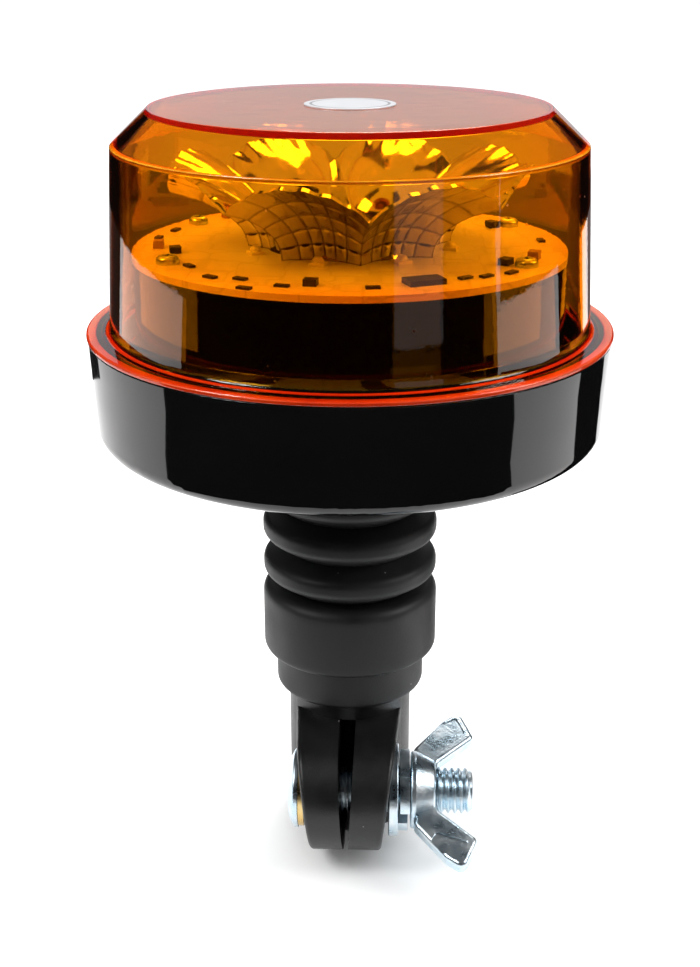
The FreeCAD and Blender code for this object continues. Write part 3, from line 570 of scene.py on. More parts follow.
class CutThread(GeometryTree):
    """Wraps a flat grid round the axis as a screw thread, from the origin towards +Z."""

    name = "cut_thread"
    sizes = {"Length": "NodeSocketFloat", "Outer Radius": "NodeSocketFloat",
             "Root Radius": "NodeSocketFloat", "Pitch": "NodeSocketFloat",
             "Rows": "NodeSocketInt", "Segments": "NodeSocketInt"}
    flank_gain = 1.5  # how steep the flanks are
    flank_drop = -0.2  # how wide the root is
    rounding = 0.12  # how far crest and root run out into the flanks
    chamfer_slope = 0.8  # how the end tapers
    chamfer_end = 0.96  # its last radius, as a share of the root's

    def build(self) -> bpy.types.NodeSocket:
        """A grid whose points wind round the axis, in and out with the thread.

        Returns:
            The welded thread, open at both ends.
        """
        nodes, entry = self.nodes, self.entry
        grid = nodes.add("GeometryNodeMeshGrid", {
            "Size X": 1.0, "Size Y": 1.0, "Vertices X": entry["Rows"],
            "Vertices Y": entry["Segments"]}).outputs["Mesh"]
        spot = nodes.parts_of(nodes.add("GeometryNodeInputPosition").outputs[0])
        along = nodes.math("MULTIPLY", nodes.math("ADD", spot["X"], 0.5), entry["Length"])
        around = nodes.math("ADD", spot["Y"], 0.5)
        turns = nodes.math("SUBTRACT", nodes.math("DIVIDE", along, entry["Pitch"]), around)
        wave = nodes.math("PINGPONG", nodes.math("MULTIPLY", turns, 2.0), 1.0)
        flank = nodes.math("MULTIPLY_ADD", wave, self.flank_gain, self.flank_drop)
        crest = nodes.math("SMOOTH_MIN", flank, 1.0, self.rounding)
        root = nodes.math("SMOOTH_MAX", crest, 0.0, self.rounding)
        depth = nodes.math("SUBTRACT", entry["Outer Radius"], entry["Root Radius"])
        radius = nodes.math("MULTIPLY_ADD", root, depth, entry["Root Radius"])
        left = nodes.math("SUBTRACT", entry["Length"], along)
        end = nodes.math("MULTIPLY", entry["Root Radius"], self.chamfer_end)
        chamfer = nodes.math("ADD", nodes.math("MULTIPLY", left, self.chamfer_slope), end)
        radius = nodes.math("MINIMUM", nodes.math("MINIMUM", radius, chamfer),
                            entry["Outer Radius"])
        angle = nodes.math("MULTIPLY", around, 2 * math.pi)
        place = nodes.add("ShaderNodeCombineXYZ", {
            "X": nodes.math("MULTIPLY", nodes.math("COSINE", angle), radius),
            "Y": nodes.math("MULTIPLY", nodes.math("SINE", angle), radius), "Z": along}).outputs[0]
        wound = nodes.add("GeometryNodeSetPosition",
                          {"Geometry": grid, "Position": place}).outputs[0]
        return nodes.add("GeometryNodeMergeByDistance",
                         {"Geometry": wound, "Distance": WELD}).outputs[0]


# ---- Finishes -----------------------------------------------------------------------------


class ShaderGroup:
    """A shader node group, built once and placed in each material that wants its effect."""

    name = "group"
    takes: dict[str, float] = {}
    gives: tuple[str, ...] = ()
    _made: dict[str, bpy.types.NodeTree] = {}

    @classmethod
    def tree(cls) -> bpy.types.NodeTree:
        """The group's tree, made at its first use.

        Returns:
            The tree.
        """
        if cls.name not in cls._made:
            tree = bpy.data.node_groups.new(cls.name, "ShaderNodeTree")
            for name, value in cls.takes.items():
                socket = tree.interface.new_socket(name, in_out="INPUT",
                                                   socket_type="NodeSocketFloat")
                socket.default_value = value
            for name in cls.gives:
                tree.interface.new_socket(name, in_out="OUTPUT", socket_type="NodeSocketFloat")
            nodes = Nodes(tree)
            cls.build(nodes, nodes.add("NodeGroupInput").outputs)
            cls._made[cls.name] = tree
        return cls._made[cls.name]

    @classmethod
    def build(cls, nodes: Nodes, entry: Any) -> None:
        """Adds the group's own nodes.

        Args:
            nodes: the group's nodes.
            entry: the outputs of its input node.
        """
        raise NotImplementedError

    @classmethod
    def place(cls, nodes: Nodes, **values: float) -> Any:
        """Adds the group to a material.

        Args:
            nodes: the material's nodes.
            values: the group's inputs for this material, with underscores for spaces.

        Returns:
            The group's outputs.
        """
        node = nodes.add("ShaderNodeGroup", node_tree=cls.tree())
        for name, value in values.items():
            node.inputs[name.replace("_", " ")].default_value = value
        return node.outputs


class Grain(ShaderGroup):
    """Fine moulded or rolled grain, with a slow drift over the piece."""

    name = "grain"
    takes = {"Scale": 1000.0, "Drift Scale": 60.0, "Stretch": 1.0}
    gives = ("Height", "Drift")

    @classmethod
    def build(cls, nodes: Nodes, entry: Any) -> None:
        """Two noises over the object's own coordinates.

        Args:
            nodes: the group's nodes.
            entry: the outputs of its input node.
        """
        place = nodes.object_place()
        spot = nodes.parts_of(place)
        tall = nodes.math("MULTIPLY", spot["Z"], entry["Stretch"])
        pulled = nodes.add("ShaderNodeCombineXYZ",
                           {"X": spot["X"], "Y": spot["Y"], "Z": tall}).outputs[0]
        fine = nodes.add("ShaderNodeTexNoise", {
            "Vector": pulled, "Scale": entry["Scale"], "Detail": 4.0, "Roughness": 0.6}).outputs[0]
        slow = nodes.add("ShaderNodeTexNoise", {
            "Vector": place, "Scale": entry["Drift Scale"], "Detail": 3.0}).outputs[0]
        drift = nodes.in_range(slow, low=0.0, high=1.0, from_low=0.3, from_high=0.7)
        nodes.add("NodeGroupOutput", {"Height": fine, "Drift": drift})


class Dust(ShaderGroup):
    """Sparse specks of dust and lint."""

    name = "dust"
    takes = {"Scale": 420.0, "Share": 0.06}
    gives = ("Mask",)

    @classmethod
    def build(cls, nodes: Nodes, entry: Any) -> None:
        """Small dots in some cells of a cell pattern.

        Args:
            nodes: the group's nodes.
            entry: the outputs of its input node.
        """
        cells = nodes.add("ShaderNodeTexVoronoi", {
            "Vector": nodes.object_place(), "Scale": entry["Scale"]}).outputs
        dot = nodes.in_range(cells["Distance"], low=1.0, high=0.0, from_low=0.04, from_high=0.11)
        pick = nodes.add("ShaderNodeSeparateColor", {0: cells["Color"]}).outputs[0]
        chosen = nodes.math("LESS_THAN", pick, entry["Share"])
        nodes.add("NodeGroupOutput", {"Mask": nodes.math("MULTIPLY", dot, chosen)})


class Scuffs(ShaderGroup):
    """Long fine scratches that thin out and break off."""

    name = "scuffs"
    takes = {"Scale": 90.0, "Amount": 0.5}
    gives = ("Mask",)

    @classmethod
    def build(cls, nodes: Nodes, entry: Any) -> None:
        """Thin lines of a stretched noise, broken up by a second one.

        Args:
            nodes: the group's nodes.
            entry: the outputs of its input node.
        """
        place = nodes.object_place()
        turned = nodes.add("ShaderNodeMapping", {
            "Vector": place, "Rotation": (0.4, 0.7, 0.3), "Scale": (1.0, 9.0, 1.0)}).outputs[0]
        line = nodes.add("ShaderNodeTexNoise", {
            "Vector": turned, "Scale": entry["Scale"], "Detail": 2.0}).outputs[0]
        off_middle = nodes.math("ABSOLUTE", nodes.math("SUBTRACT", line, 0.5))
        thin = nodes.in_range(off_middle, low=1.0, high=0.0, from_low=0.0, from_high=0.012)
        gaps = nodes.add("ShaderNodeTexNoise", {"Vector": place, "Scale": 130.0}).outputs[0]
        kept = nodes.in_range(gaps, low=0.0, high=1.0, from_low=0.52, from_high=0.62)
        broken = nodes.math("MULTIPLY", thin, kept)
        nodes.add("NodeGroupOutput", {"Mask": nodes.math("MULTIPLY", broken, entry["Amount"])})


@dataclass(frozen=True)
class Finish:
    """A surface finish: its colours, its gloss and the size of its grain."""

    name: str
    colour: Colour
    drift_colour: Colour
    metallic: float = 0.0
    gloss: tuple[float, float] = (0.3, 0.4)
    grain_scale: float = 1200.0
    grain_depth: float = 0.00002
    drift_scale: float = 60.0
    stretch: float = 1.0
    coat: float = 0.0
    coat_roughness: float = 0.05
    ior: float = 1.5
    specular: float = 0.5
    sheen: float = 0.0
    dust: float = 0.0
    dust_colour: Colour = (0.35, 0.34, 0.32)
    dust_dulls: float = 0.4
    scuffs: float = 0.0
    scuffs_dull: float = 0.3

    def build(self) -> bpy.types.Material:
        """The finish as a material.

        Returns:
            The new material.
        """
        material, nodes = new_material(self.name)
        grain = Grain.place(nodes, Scale=self.grain_scale, Drift_Scale=self.drift_scale,
                            Stretch=self.stretch)
        drift = grain["Drift"]
        colour = nodes.mix_colour(drift, rgba(self.colour), rgba(self.drift_colour))
        colour = self.pattern(nodes, colour)
        roughness = nodes.in_range(drift, self.gloss[0], self.gloss[1])
        if self.dust > 0:
            mask = Dust.place(nodes, Share=self.dust)["Mask"]
            colour = nodes.mix_colour(mask, colour, rgba(self.dust_colour))
            roughness = nodes.math("ADD", roughness, nodes.math("MULTIPLY", mask, self.dust_dulls))
        if self.scuffs > 0:
            mask = Scuffs.place(nodes, Amount=self.scuffs)["Mask"]
            roughness = nodes.math("ADD", roughness, nodes.math("MULTIPLY", mask, self.scuffs_dull))
        bump = nodes.add("ShaderNodeBump", {
            "Height": self.relief(nodes, grain["Height"]), "Distance": self.grain_depth,
            "Strength": 1.0}).outputs[0]
        shader = nodes.add("ShaderNodeBsdfPrincipled", {
            "Base Color": colour, "Roughness": roughness, "Normal": bump,
            "Metallic": self.metallic, "IOR": self.ior, "Specular IOR Level": self.specular,
            "Coat Weight": self.coat, "Coat Roughness": self.coat_roughness,
            "Sheen Weight": self.sheen}).outputs[0]
        nodes.add("ShaderNodeOutputMaterial", {"Surface": shader})
        return material

    def pattern(self, nodes: Nodes, colour: bpy.types.NodeSocket) -> bpy.types.NodeSocket:
        """The finish's own pattern over its colour; a plain finish has none."""
        return colour

    def relief(self, nodes: Nodes, height: bpy.types.NodeSocket) -> bpy.types.NodeSocket:
        """The finish's own relief over its grain; a plain finish has none."""
        return height


@dataclass(frozen=True)
class RingedLabel(Finish):
    """A bare silver disc with one thin grey ring printed on it."""

    ring_radius: float = 0.0093
    ring_width: float = 0.0004
    ring_core: float = 0.6
    ink: Colour = (0.2, 0.2, 0.21)
    ink_share: float = 0.8

    def pattern(self, nodes: Nodes, colour: bpy.types.NodeSocket) -> bpy.types.NodeSocket:
        """A ring at a set distance from the axis.

        Args:
            nodes: the material's nodes.
            colour: the bare film's colour.

        Returns:
            The colour with the ring on it.
        """
        spot = nodes.parts_of(nodes.object_place())
        squares = nodes.math("ADD", nodes.math("MULTIPLY", spot["X"], spot["X"]),
                             nodes.math("MULTIPLY", spot["Y"], spot["Y"]))
        offset = nodes.math("SUBTRACT", nodes.math("SQRT", squares), self.ring_radius)
        inked = nodes.in_range(nodes.math("ABSOLUTE", offset), self.ink_share, 0.0,
                               self.ring_width * self.ring_core, self.ring_width)
        return nodes.mix_colour(inked, colour, rgba(self.ink))


@dataclass(frozen=True)
class BoardMask(Finish):
    """White solder mask over copper, with the tracks and pours just showing through it."""

    track: Colour = (0.66, 0.66, 0.62)
    track_share: float = 0.5
    pour_scale: float = 95.0
    pour_scatter: float = 0.8
    gap: tuple[float, float] = (0.02, 0.06)

    def tracks(self, nodes: Nodes) -> bpy.types.NodeSocket:
        """Outlines of copper pours: the borders between large square cells.

        Args:
            nodes: the material's nodes.

        Returns:
            A mask that is 1 on the borders.
        """
        place = nodes.object_place()
        far, near = (nodes.add("ShaderNodeTexVoronoi", {
            "Vector": place, "Scale": self.pour_scale, "Randomness": self.pour_scatter},
            distance="CHEBYCHEV", feature=feature).outputs["Distance"] for feature in ("F2", "F1"))
        return nodes.in_range(nodes.math("SUBTRACT", far, near), 1.0, 0.0, *self.gap)

    def pattern(self, nodes: Nodes, colour: bpy.types.NodeSocket) -> bpy.types.NodeSocket:
        """Darkens the mask along the borders of the pours."""
        share = nodes.math("MULTIPLY", self.tracks(nodes), self.track_share)
        return nodes.mix_colour(share, colour, rgba(self.track))

    def relief(self, nodes: Nodes, height: bpy.types.NodeSocket) -> bpy.types.NodeSocket:
        """Lets the mask sink a little along the same borders."""
        return nodes.math("SUBTRACT", height, self.tracks(nodes))


@dataclass(frozen=True)
class FacetedMirror(Finish):
    """Metallised plastic with painted shade darkening the grooves between its facets."""

    # Painted shade: the colour of the grooves between the facets.
    groove_painted_shade: Colour = (0.1, 0.055, 0.03)

    def pattern(self, nodes: Nodes, colour: bpy.types.NodeSocket) -> bpy.types.NodeSocket:
        """Paints shade into the grooves, which the mesh marks."""
        groove = nodes.add("ShaderNodeAttribute", attribute_name="groove").outputs["Fac"]
        return nodes.mix_colour(groove, colour, rgba(self.groove_painted_shade))


@dataclass(frozen=True)
class TintedGlass:
    """Clear plastic that takes its colour from the depth of plastic that light crosses."""

    name: str
    through: Colour
    density: float
    roughness: float = 0.02
    ior: float = 1.52
    ripple_scale: float = 90.0
    ripple_depth: float = 0.00002
    dust_scale: float = 260.0
    dust: float = 0.03
    dust_dulls: float = 0.5

    def build(self) -> bpy.types.Material:
        """The plastic; rays from lamps pass it unbent, so that they reach what is inside.

        Returns:
            The new material.
        """
        material, nodes = new_material(self.name)
        ripple = Grain.place(nodes, Scale=self.ripple_scale)["Height"]
        bump = nodes.add("ShaderNodeBump",
                         {"Height": ripple, "Distance": self.ripple_depth}).outputs[0]
        mask = Dust.place(nodes, Scale=self.dust_scale, Share=self.dust)["Mask"]
        roughness = nodes.math("MULTIPLY_ADD", mask, self.dust_dulls, self.roughness)
        glass = nodes.add("ShaderNodeBsdfPrincipled", {
            "Base Color": WHITE, "Roughness": roughness, "IOR": self.ior,
            "Transmission Weight": 1.0, "Normal": bump}).outputs[0]
        clear = nodes.add("ShaderNodeBsdfTransparent", {"Color": WHITE}).outputs[0]
        path = nodes.add("ShaderNodeLightPath").outputs
        surface = nodes.add("ShaderNodeMixShader",
                            {0: path["Is Shadow Ray"], 1: glass, 2: clear}).outputs[0]
        volume = nodes.add("ShaderNodeVolumeAbsorption",
                           {"Color": rgba(self.through), "Density": self.density}).outputs[0]
        nodes.add("ShaderNodeOutputMaterial", {"Surface": surface, "Volume": volume})
        return material


class Slot(Enum):
    """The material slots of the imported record, with the finish of each."""

    BLACK_GLOSS = Finish("black_gloss", (0.003, 0.003, 0.0032), (0.004, 0.004, 0.0043),
                         gloss=(0.035, 0.06), grain_scale=160.0, grain_depth=0.000004,
                         drift_scale=30.0, dust=0.012)
    AMBER_LENS = TintedGlass("amber_lens", (0.9975, 0.805, 0.01), 1150.0)
    # Painted light: the next two finishes are opaque orange-red bands that paint the glow of light run along
    # the lens plastic, at its flange, wall foot and top rim.
    AMBER_PAINTED_EDGE_GLOW = Finish("amber_painted_edge_glow", (0.55, 0.022, 0.002), (0.72, 0.06, 0.004),
                        gloss=(0.3, 0.45), grain_scale=500.0, drift_scale=70.0)
    AMBER_PAINTED_RIM_GLOW = Finish("amber_painted_rim_glow", (0.45, 0.01, 0.001), (0.55, 0.02, 0.002),
                       gloss=(0.3, 0.45), grain_scale=500.0, drift_scale=70.0)
    # Painted highlight: an opaque gold band along the lens's rounded shoulder, standing for the highlight
    # that it catches.
    AMBER_PAINTED_SHOULDER_HIGHLIGHT = Finish("amber_painted_shoulder_highlight", (0.95, 0.42, 0.02), (1.0, 0.62, 0.06),
                        gloss=(0.2, 0.3), grain_scale=500.0, drift_scale=90.0)
    NECK_RUBBER = Finish("neck_rubber", (0.006, 0.006, 0.0065), (0.01, 0.01, 0.0105),
                         gloss=(0.46, 0.58), grain_scale=1600.0, grain_depth=0.00003,
                         drift_scale=90.0, sheen=0.015, dust=0.015)
    SOCKET_PLASTIC = Finish("socket_plastic", (0.006, 0.006, 0.0065), (0.01, 0.01, 0.0105),
                            gloss=(0.32, 0.42), grain_scale=2300.0, grain_depth=0.00006,
                            drift_scale=120.0, dust=0.05)
    ZINC = Finish("zinc", (0.55, 0.72, 0.83), (0.86, 0.92, 0.95), metallic=1.0,
                  gloss=(0.24, 0.4), grain_scale=900.0, grain_depth=0.00008,
                  drift_scale=220.0, scuffs=0.7)
    YELLOW_ZINC = Finish("yellow_zinc", (0.75, 0.5, 0.18), (0.8, 0.62, 0.3), metallic=1.0,
                         gloss=(0.25, 0.38), grain_scale=900.0, drift_scale=160.0)
    SPRING_STEEL = Finish("spring_steel", (0.55, 0.56, 0.58), (0.62, 0.62, 0.62),
                          metallic=1.0, gloss=(0.2, 0.32))
    CONTACT_BRASS = Finish("contact_brass", (0.75, 0.55, 0.25), (0.8, 0.6, 0.3),
                           metallic=1.0, gloss=(0.2, 0.32), scuffs=0.4)
    INSULATOR = Finish("insulator", (0.02, 0.02, 0.02), (0.03, 0.03, 0.03), gloss=(0.4, 0.5))
    SEAL_RUBBER = Finish("seal_rubber", (0.01, 0.01, 0.01), (0.015, 0.015, 0.015),
                         gloss=(0.5, 0.6))
    REFLECTOR_PLATE = FacetedMirror("reflector_plate", (0.64, 0.6, 0.56), (0.78, 0.74, 0.7),
                                    metallic=1.0, gloss=(0.06, 0.12), grain_scale=260.0,
                                    grain_depth=0.00003, drift_scale=90.0)
    BOARD_WHITE = BoardMask("board_white", (0.9, 0.9, 0.88), (0.94, 0.94, 0.92),
                            gloss=(0.3, 0.4), grain_scale=900.0, grain_depth=0.00003, coat=0.3)
    LED_PACKAGE = Finish("led_package", (0.85, 0.8, 0.62), (0.9, 0.86, 0.7), gloss=(0.25, 0.35))
    CHIP_BLACK = Finish("chip_black", (0.012, 0.012, 0.012), (0.02, 0.02, 0.02),
                        gloss=(0.35, 0.5))
    CHIP_TAN = Finish("chip_tan", (0.32, 0.2, 0.11), (0.4, 0.27, 0.16), gloss=(0.35, 0.5))
    LABEL_SILVER = RingedLabel("label_silver", (0.72, 0.73, 0.75), (0.8, 0.81, 0.83),
                               metallic=0.35, gloss=(0.25, 0.35))
    LEAD_RED = Finish("lead_red", (0.5, 0.02, 0.015), (0.55, 0.03, 0.02), gloss=(0.35, 0.45))
    LEAD_BLACK = Finish("lead_black", (0.015, 0.015, 0.015), (0.02, 0.02, 0.02),
                        gloss=(0.35, 0.45))

    @property
    def slot(self) -> str:
        """The slot's name in the record."""
        return "amber_lens" if self.name.startswith("AMBER") else self.name.lower()


class Workshop:
    """The finishes and node trees that the sub-assemblies share."""

    def __init__(self, frame: dict[str, Any]) -> None:
        """Makes every material and tree once.

        Args:
            frame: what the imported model's loader returned.
        """
        self.frame = frame
        self.materials = {slot: slot.value.build() for slot in Slot}
        self.ring_of_parts = RingOfParts()
        self.stack_of_rings = StackOfRings()
        self.cut_thread = CutThread()

    def body_of(self, node: str) -> str:
        """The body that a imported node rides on."""
        return self.frame["nodes"][node]["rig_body"]

    def dress_packed_nodes(self) -> None:
        """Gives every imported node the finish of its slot."""
        slots = {slot.slot: slot for slot in reversed(Slot)}
        for entry in self.frame["record"]["subparts"]:
            node = self.frame["nodes"][entry["node"]]
            material = self.materials[slots[entry["material_slot"]]]
            for place in node.material_slots:
                place.material = material
            if not node.material_slots:
                node.data.materials.append(material)

    def mount(self, piece: bpy.types.Object, body: str, slot: Slot,
              *nodes: str) -> bpy.types.Object:
        """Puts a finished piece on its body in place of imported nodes.

        Args:
            piece: the piece, in place.
            body: the body that it rides on.
            slot: the material slot that it takes its finish from.
            nodes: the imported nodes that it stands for.

        Returns:
            The same piece.
        """
        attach(piece, body)
        return self.stand_for(piece, slot, *nodes)

    def stand_for(self, piece: bpy.types.Object, slot: Slot, *nodes: str) -> bpy.types.Object:
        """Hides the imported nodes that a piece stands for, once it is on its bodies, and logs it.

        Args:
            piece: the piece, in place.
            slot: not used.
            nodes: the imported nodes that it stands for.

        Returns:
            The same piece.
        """
        if nodes:
            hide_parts(*nodes)
        LOG.info("%s: %d faces, for %s", piece.name, len(piece.data.polygons),
                 ", ".join(nodes) or "no node")
        return piece

    def smooth_skin(self, node: str, name: str, slot: Slot) -> bpy.types.Object:
        """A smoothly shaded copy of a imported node, standing for it.

        Args:
            node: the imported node.
            name: the new piece's name.
            slot: the material slot of its finish.

        Returns:
            The new piece.
        """
        mesh = self.frame["nodes"][node].data.copy()
        mesh.materials.clear()
        for attribute in [a.name for a in mesh.attributes if a.name in ("custom_normal", "UVMap")]:
            mesh.attributes.remove(mesh.attributes[attribute])
        settled(mesh, recalculate=False)
        piece = new_object(name, mesh, self.materials[slot])
        weighted = piece.modifiers.new("even_shading", "WEIGHTED_NORMAL")
        weighted.keep_sharp = True
        weighted.weight = 50
        with_modifiers_applied(piece)
        return self.mount(piece, self.body_of(node), slot, node)


@dataclass(frozen=True)
class Stations:
    """The heights and axes that the sub-assemblies are placed by, in millimetres."""

    base_foot: float
    base_top: float
    lens_top: float
    lens_radius: float
    board_top: float
    neck_foot: float
    neck_top: float
    bolt_y: float
    bolt_z: float
    bolt_head: float
    bolt_end: float
    disc_foot: float
    disc_top: float
    disc_radius: float

    @classmethod
    def read(cls) -> Stations:
        """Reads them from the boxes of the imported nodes.

        Returns:
            The stations of this pack.
        """
        low: dict[str, Vector] = {}
        high: dict[str, Vector] = {}
        for node in ("base_housing", "lens", "led_board", "flexible_neck", "clamp_bolt",
                     "top_disc"):
            low[node], high[node] = (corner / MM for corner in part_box(node))
        bolt = "clamp_bolt"
        return cls(
            base_foot=low["base_housing"].z, base_top=high["base_housing"].z,
            lens_top=high["lens"].z, lens_radius=high["lens"].x,
            board_top=high["led_board"].z, neck_foot=low["flexible_neck"].z,
            neck_top=high["flexible_neck"].z, bolt_y=(low[bolt].y + high[bolt].y) / 2,
            bolt_z=(low[bolt].z + high[bolt].z) / 2, bolt_head=low[bolt].x,
            bolt_end=high[bolt].x, disc_foot=low["top_disc"].z, disc_top=high["top_disc"].z,
            disc_radius=high["top_disc"].x)

    def along_bolt(self, place: float) -> Matrix:
        """Lays what was made about +Z along the bolt, with its foot at x = place."""
        move = Matrix.Translation(Vector((place, self.bolt_y, self.bolt_z)) * MM)
        return move @ Matrix.Rotation(math.pi / 2, 4, "Y")


# ---- Head ---------------------------------------------------------------------------------


@dataclass
class Lens:
    """The amber lens: a flanged, drafted drum with a bevelled shoulder and a flat top."""

    shop: Workshop
    at: Stations
    wall: float = 2.4
    flange: float = 1.3
    foot_inset: float = 5.85
    foot_height: float = 2.5
    shoulder_inset: float = 8.15
    shoulder: float = 44.0
    top_inset: float = 17.2
    spigot: float = 6.5
    spigot_inset: float = 4.0
    # Sections of the bands of painted light: glow in the flange, at the wall's foot and under the rim, and
    # the shoulder's painted highlight.
    flange_light: tuple[Corner, ...] = (
        Corner(-2.5, 0.2), Corner(-0.3, 0.2), Corner(-0.3, 1.0, 0.3), Corner(-2.3, 0.7, 0.2))
    foot_light: tuple[Corner, ...] = (
        Corner(-0.5, 0.25), Corner(1.0, 0.25), Corner(0.8, 0.6, 0.15), Corner(-0.4, 0.8, 0.15))
    light_depth: float = 0.35
    light_gap: float = 0.25
    rim_light_drop: float = 0.3
    rim_light_lean: float = 0.4
    shoulder_light_drop: float = 0.1
    shoulder_light_end: float = 0.75

    @property
    def flange_z(self) -> float:
        """The height of the flange's top."""
        return self.at.base_top + self.flange

    @property
    def shoulder_z(self) -> float:
        """The height of the shoulder's edge."""
        return self.flange_z + self.shoulder

    def inside(self, inset: float) -> float:
        """The radius that lies an inset within the flange's edge."""
        return self.at.lens_radius - inset

    def outline(self) -> list[Corner]:
        """The wall's closed outline, from the spigot up the outside and back down the inside.

        Returns:
            The outline's corners.
        """
        at, wall, flange_z = self.at, self.wall, self.flange_z
        spigot_r, foot_r = self.inside(self.spigot_inset), self.inside(self.foot_inset)
        shoulder_r, top_r = self.inside(self.shoulder_inset), self.inside(self.top_inset)
        slope = math.atan2(at.lens_top - self.shoulder_z, shoulder_r - top_r)
        inner_top = top_r - wall * math.tan(slope / 2)
        inner_shoulder = self.shoulder_z - wall * math.tan((math.pi / 2 - slope) / 2)
        wall_foot = flange_z + self.foot_height
        return [
            Corner(spigot_r - wall, at.base_top - self.spigot, 0.3),
            Corner(spigot_r, at.base_top - self.spigot, 0.4),
            Corner(spigot_r, at.base_top, 0.15),
            Corner(at.lens_radius, at.base_top, 0.5),
            Corner(at.lens_radius, flange_z, 0.6),
            Corner(foot_r + 0.15, flange_z, 1.8),
            Corner(foot_r, wall_foot),
            Corner(shoulder_r, self.shoulder_z, 0.6),
            Corner(top_r, at.lens_top, 0.6),
            Corner(0, at.lens_top),
            Corner(0, at.lens_top - wall),
            Corner(inner_top, at.lens_top - wall, 0.6),
            Corner(shoulder_r - wall, inner_shoulder, 0.6),
            Corner(foot_r - wall, wall_foot, 0.8),
            Corner(spigot_r - wall, flange_z - 1.0, 0.8)]

    @staticmethod
    def beside(radius: float, height: float, offsets: Sequence[Corner]) -> list[Corner]:
        """Corners that are given by their distances from one point."""
        return [Corner(radius + far.radius, height + far.height, far.rounding) for far in offsets]

    @staticmethod
    def strip(first: tuple[float, float], last: tuple[float, float],
              thick: float = 0.18) -> list[Corner]:
        """A thin closed band of section between two points of the wall's section.

        Args:
            first: the radius and height at which the band starts.
            last: the radius and height at which it ends.
            thick: how thick it is, in millimetres.

        Returns:
            The band's corners.
        """
        run, rise = last[0] - first[0], last[1] - first[1]
        length = math.hypot(run, rise)
        over, up = -rise / length * thick / 2, run / length * thick / 2
        return [Corner(first[0] - over, first[1] - up), Corner(last[0] - over, last[1] - up),
                Corner(last[0] + over, last[1] + up), Corner(first[0] + over, first[1] + up)]

    def painted_light_bands(self) -> None:
        """Makes bands inside the plastic that paint the glow of light run along it, and the shoulder's
        painted highlight.
        """
        at = self.at
        shoulder_r, top_r = self.inside(self.shoulder_inset), self.inside(self.top_inset)
        flange = self.beside(at.lens_radius, at.base_top, self.flange_light)
        foot = self.beside(self.inside(self.foot_inset), at.base_top, self.foot_light)
        outer_rim, outer_shoulder = top_r - self.light_depth, shoulder_r - self.light_depth
        rim = self.strip((outer_rim, at.lens_top - self.rim_light_drop),
                         (outer_rim - self.rim_light_lean,
                          at.lens_top - self.wall + self.light_gap))
        # The shoulder band is a painted highlight of gold plastic.
        shoulder = self.strip((outer_shoulder, self.shoulder_z - self.shoulder_light_drop),
                              (shoulder_r - self.wall + self.light_gap,
                               self.shoulder_z - self.shoulder_light_end))
        # Opaque finishes: painted glow at the flange, foot and rim, and a painted highlight on the shoulder.
        for name, slot, sections in (("lens_flange_painted_glow", Slot.AMBER_PAINTED_EDGE_GLOW, (flange, foot)),
                                     ("lens_rim_painted_glow", Slot.AMBER_PAINTED_RIM_GLOW, (rim,)),
                                     ("lens_shoulder_painted_highlight", Slot.AMBER_PAINTED_SHOULDER_HIGHLIGHT, (shoulder,))):
            meshes = [turned_mesh(name, rounded_outline(section), segments=160)
                      for section in sections]
            piece = new_object(name, joined(name, meshes), self.shop.materials[slot])
            self.shop.mount(piece, "head", slot)

    def build(self) -> None:
        """Makes the lens and the bare label on its top."""
        mesh = turned_mesh("lens_shell", rounded_outline(self.outline()), segments=224)
        piece = new_object("lens_shell", mesh, self.shop.materials[Slot.AMBER_LENS])
        self.shop.mount(piece, "head", Slot.AMBER_LENS, "lens")
        self.painted_light_bands()
        at = self.at
        disc = rounded_outline([Corner(0, at.disc_foot), Corner(at.disc_radius, at.disc_foot),
                                Corner(at.disc_radius, at.disc_top, 0.12), Corner(0, at.disc_top)],
                               closed=False, longest=2.0)
        label = new_object("top_label", turned_mesh("top_label", disc, closed=False, segments=96),
                           self.shop.materials[Slot.LABEL_SILVER])
        self.shop.mount(label, "head", Slot.LABEL_SILVER, "top_disc")


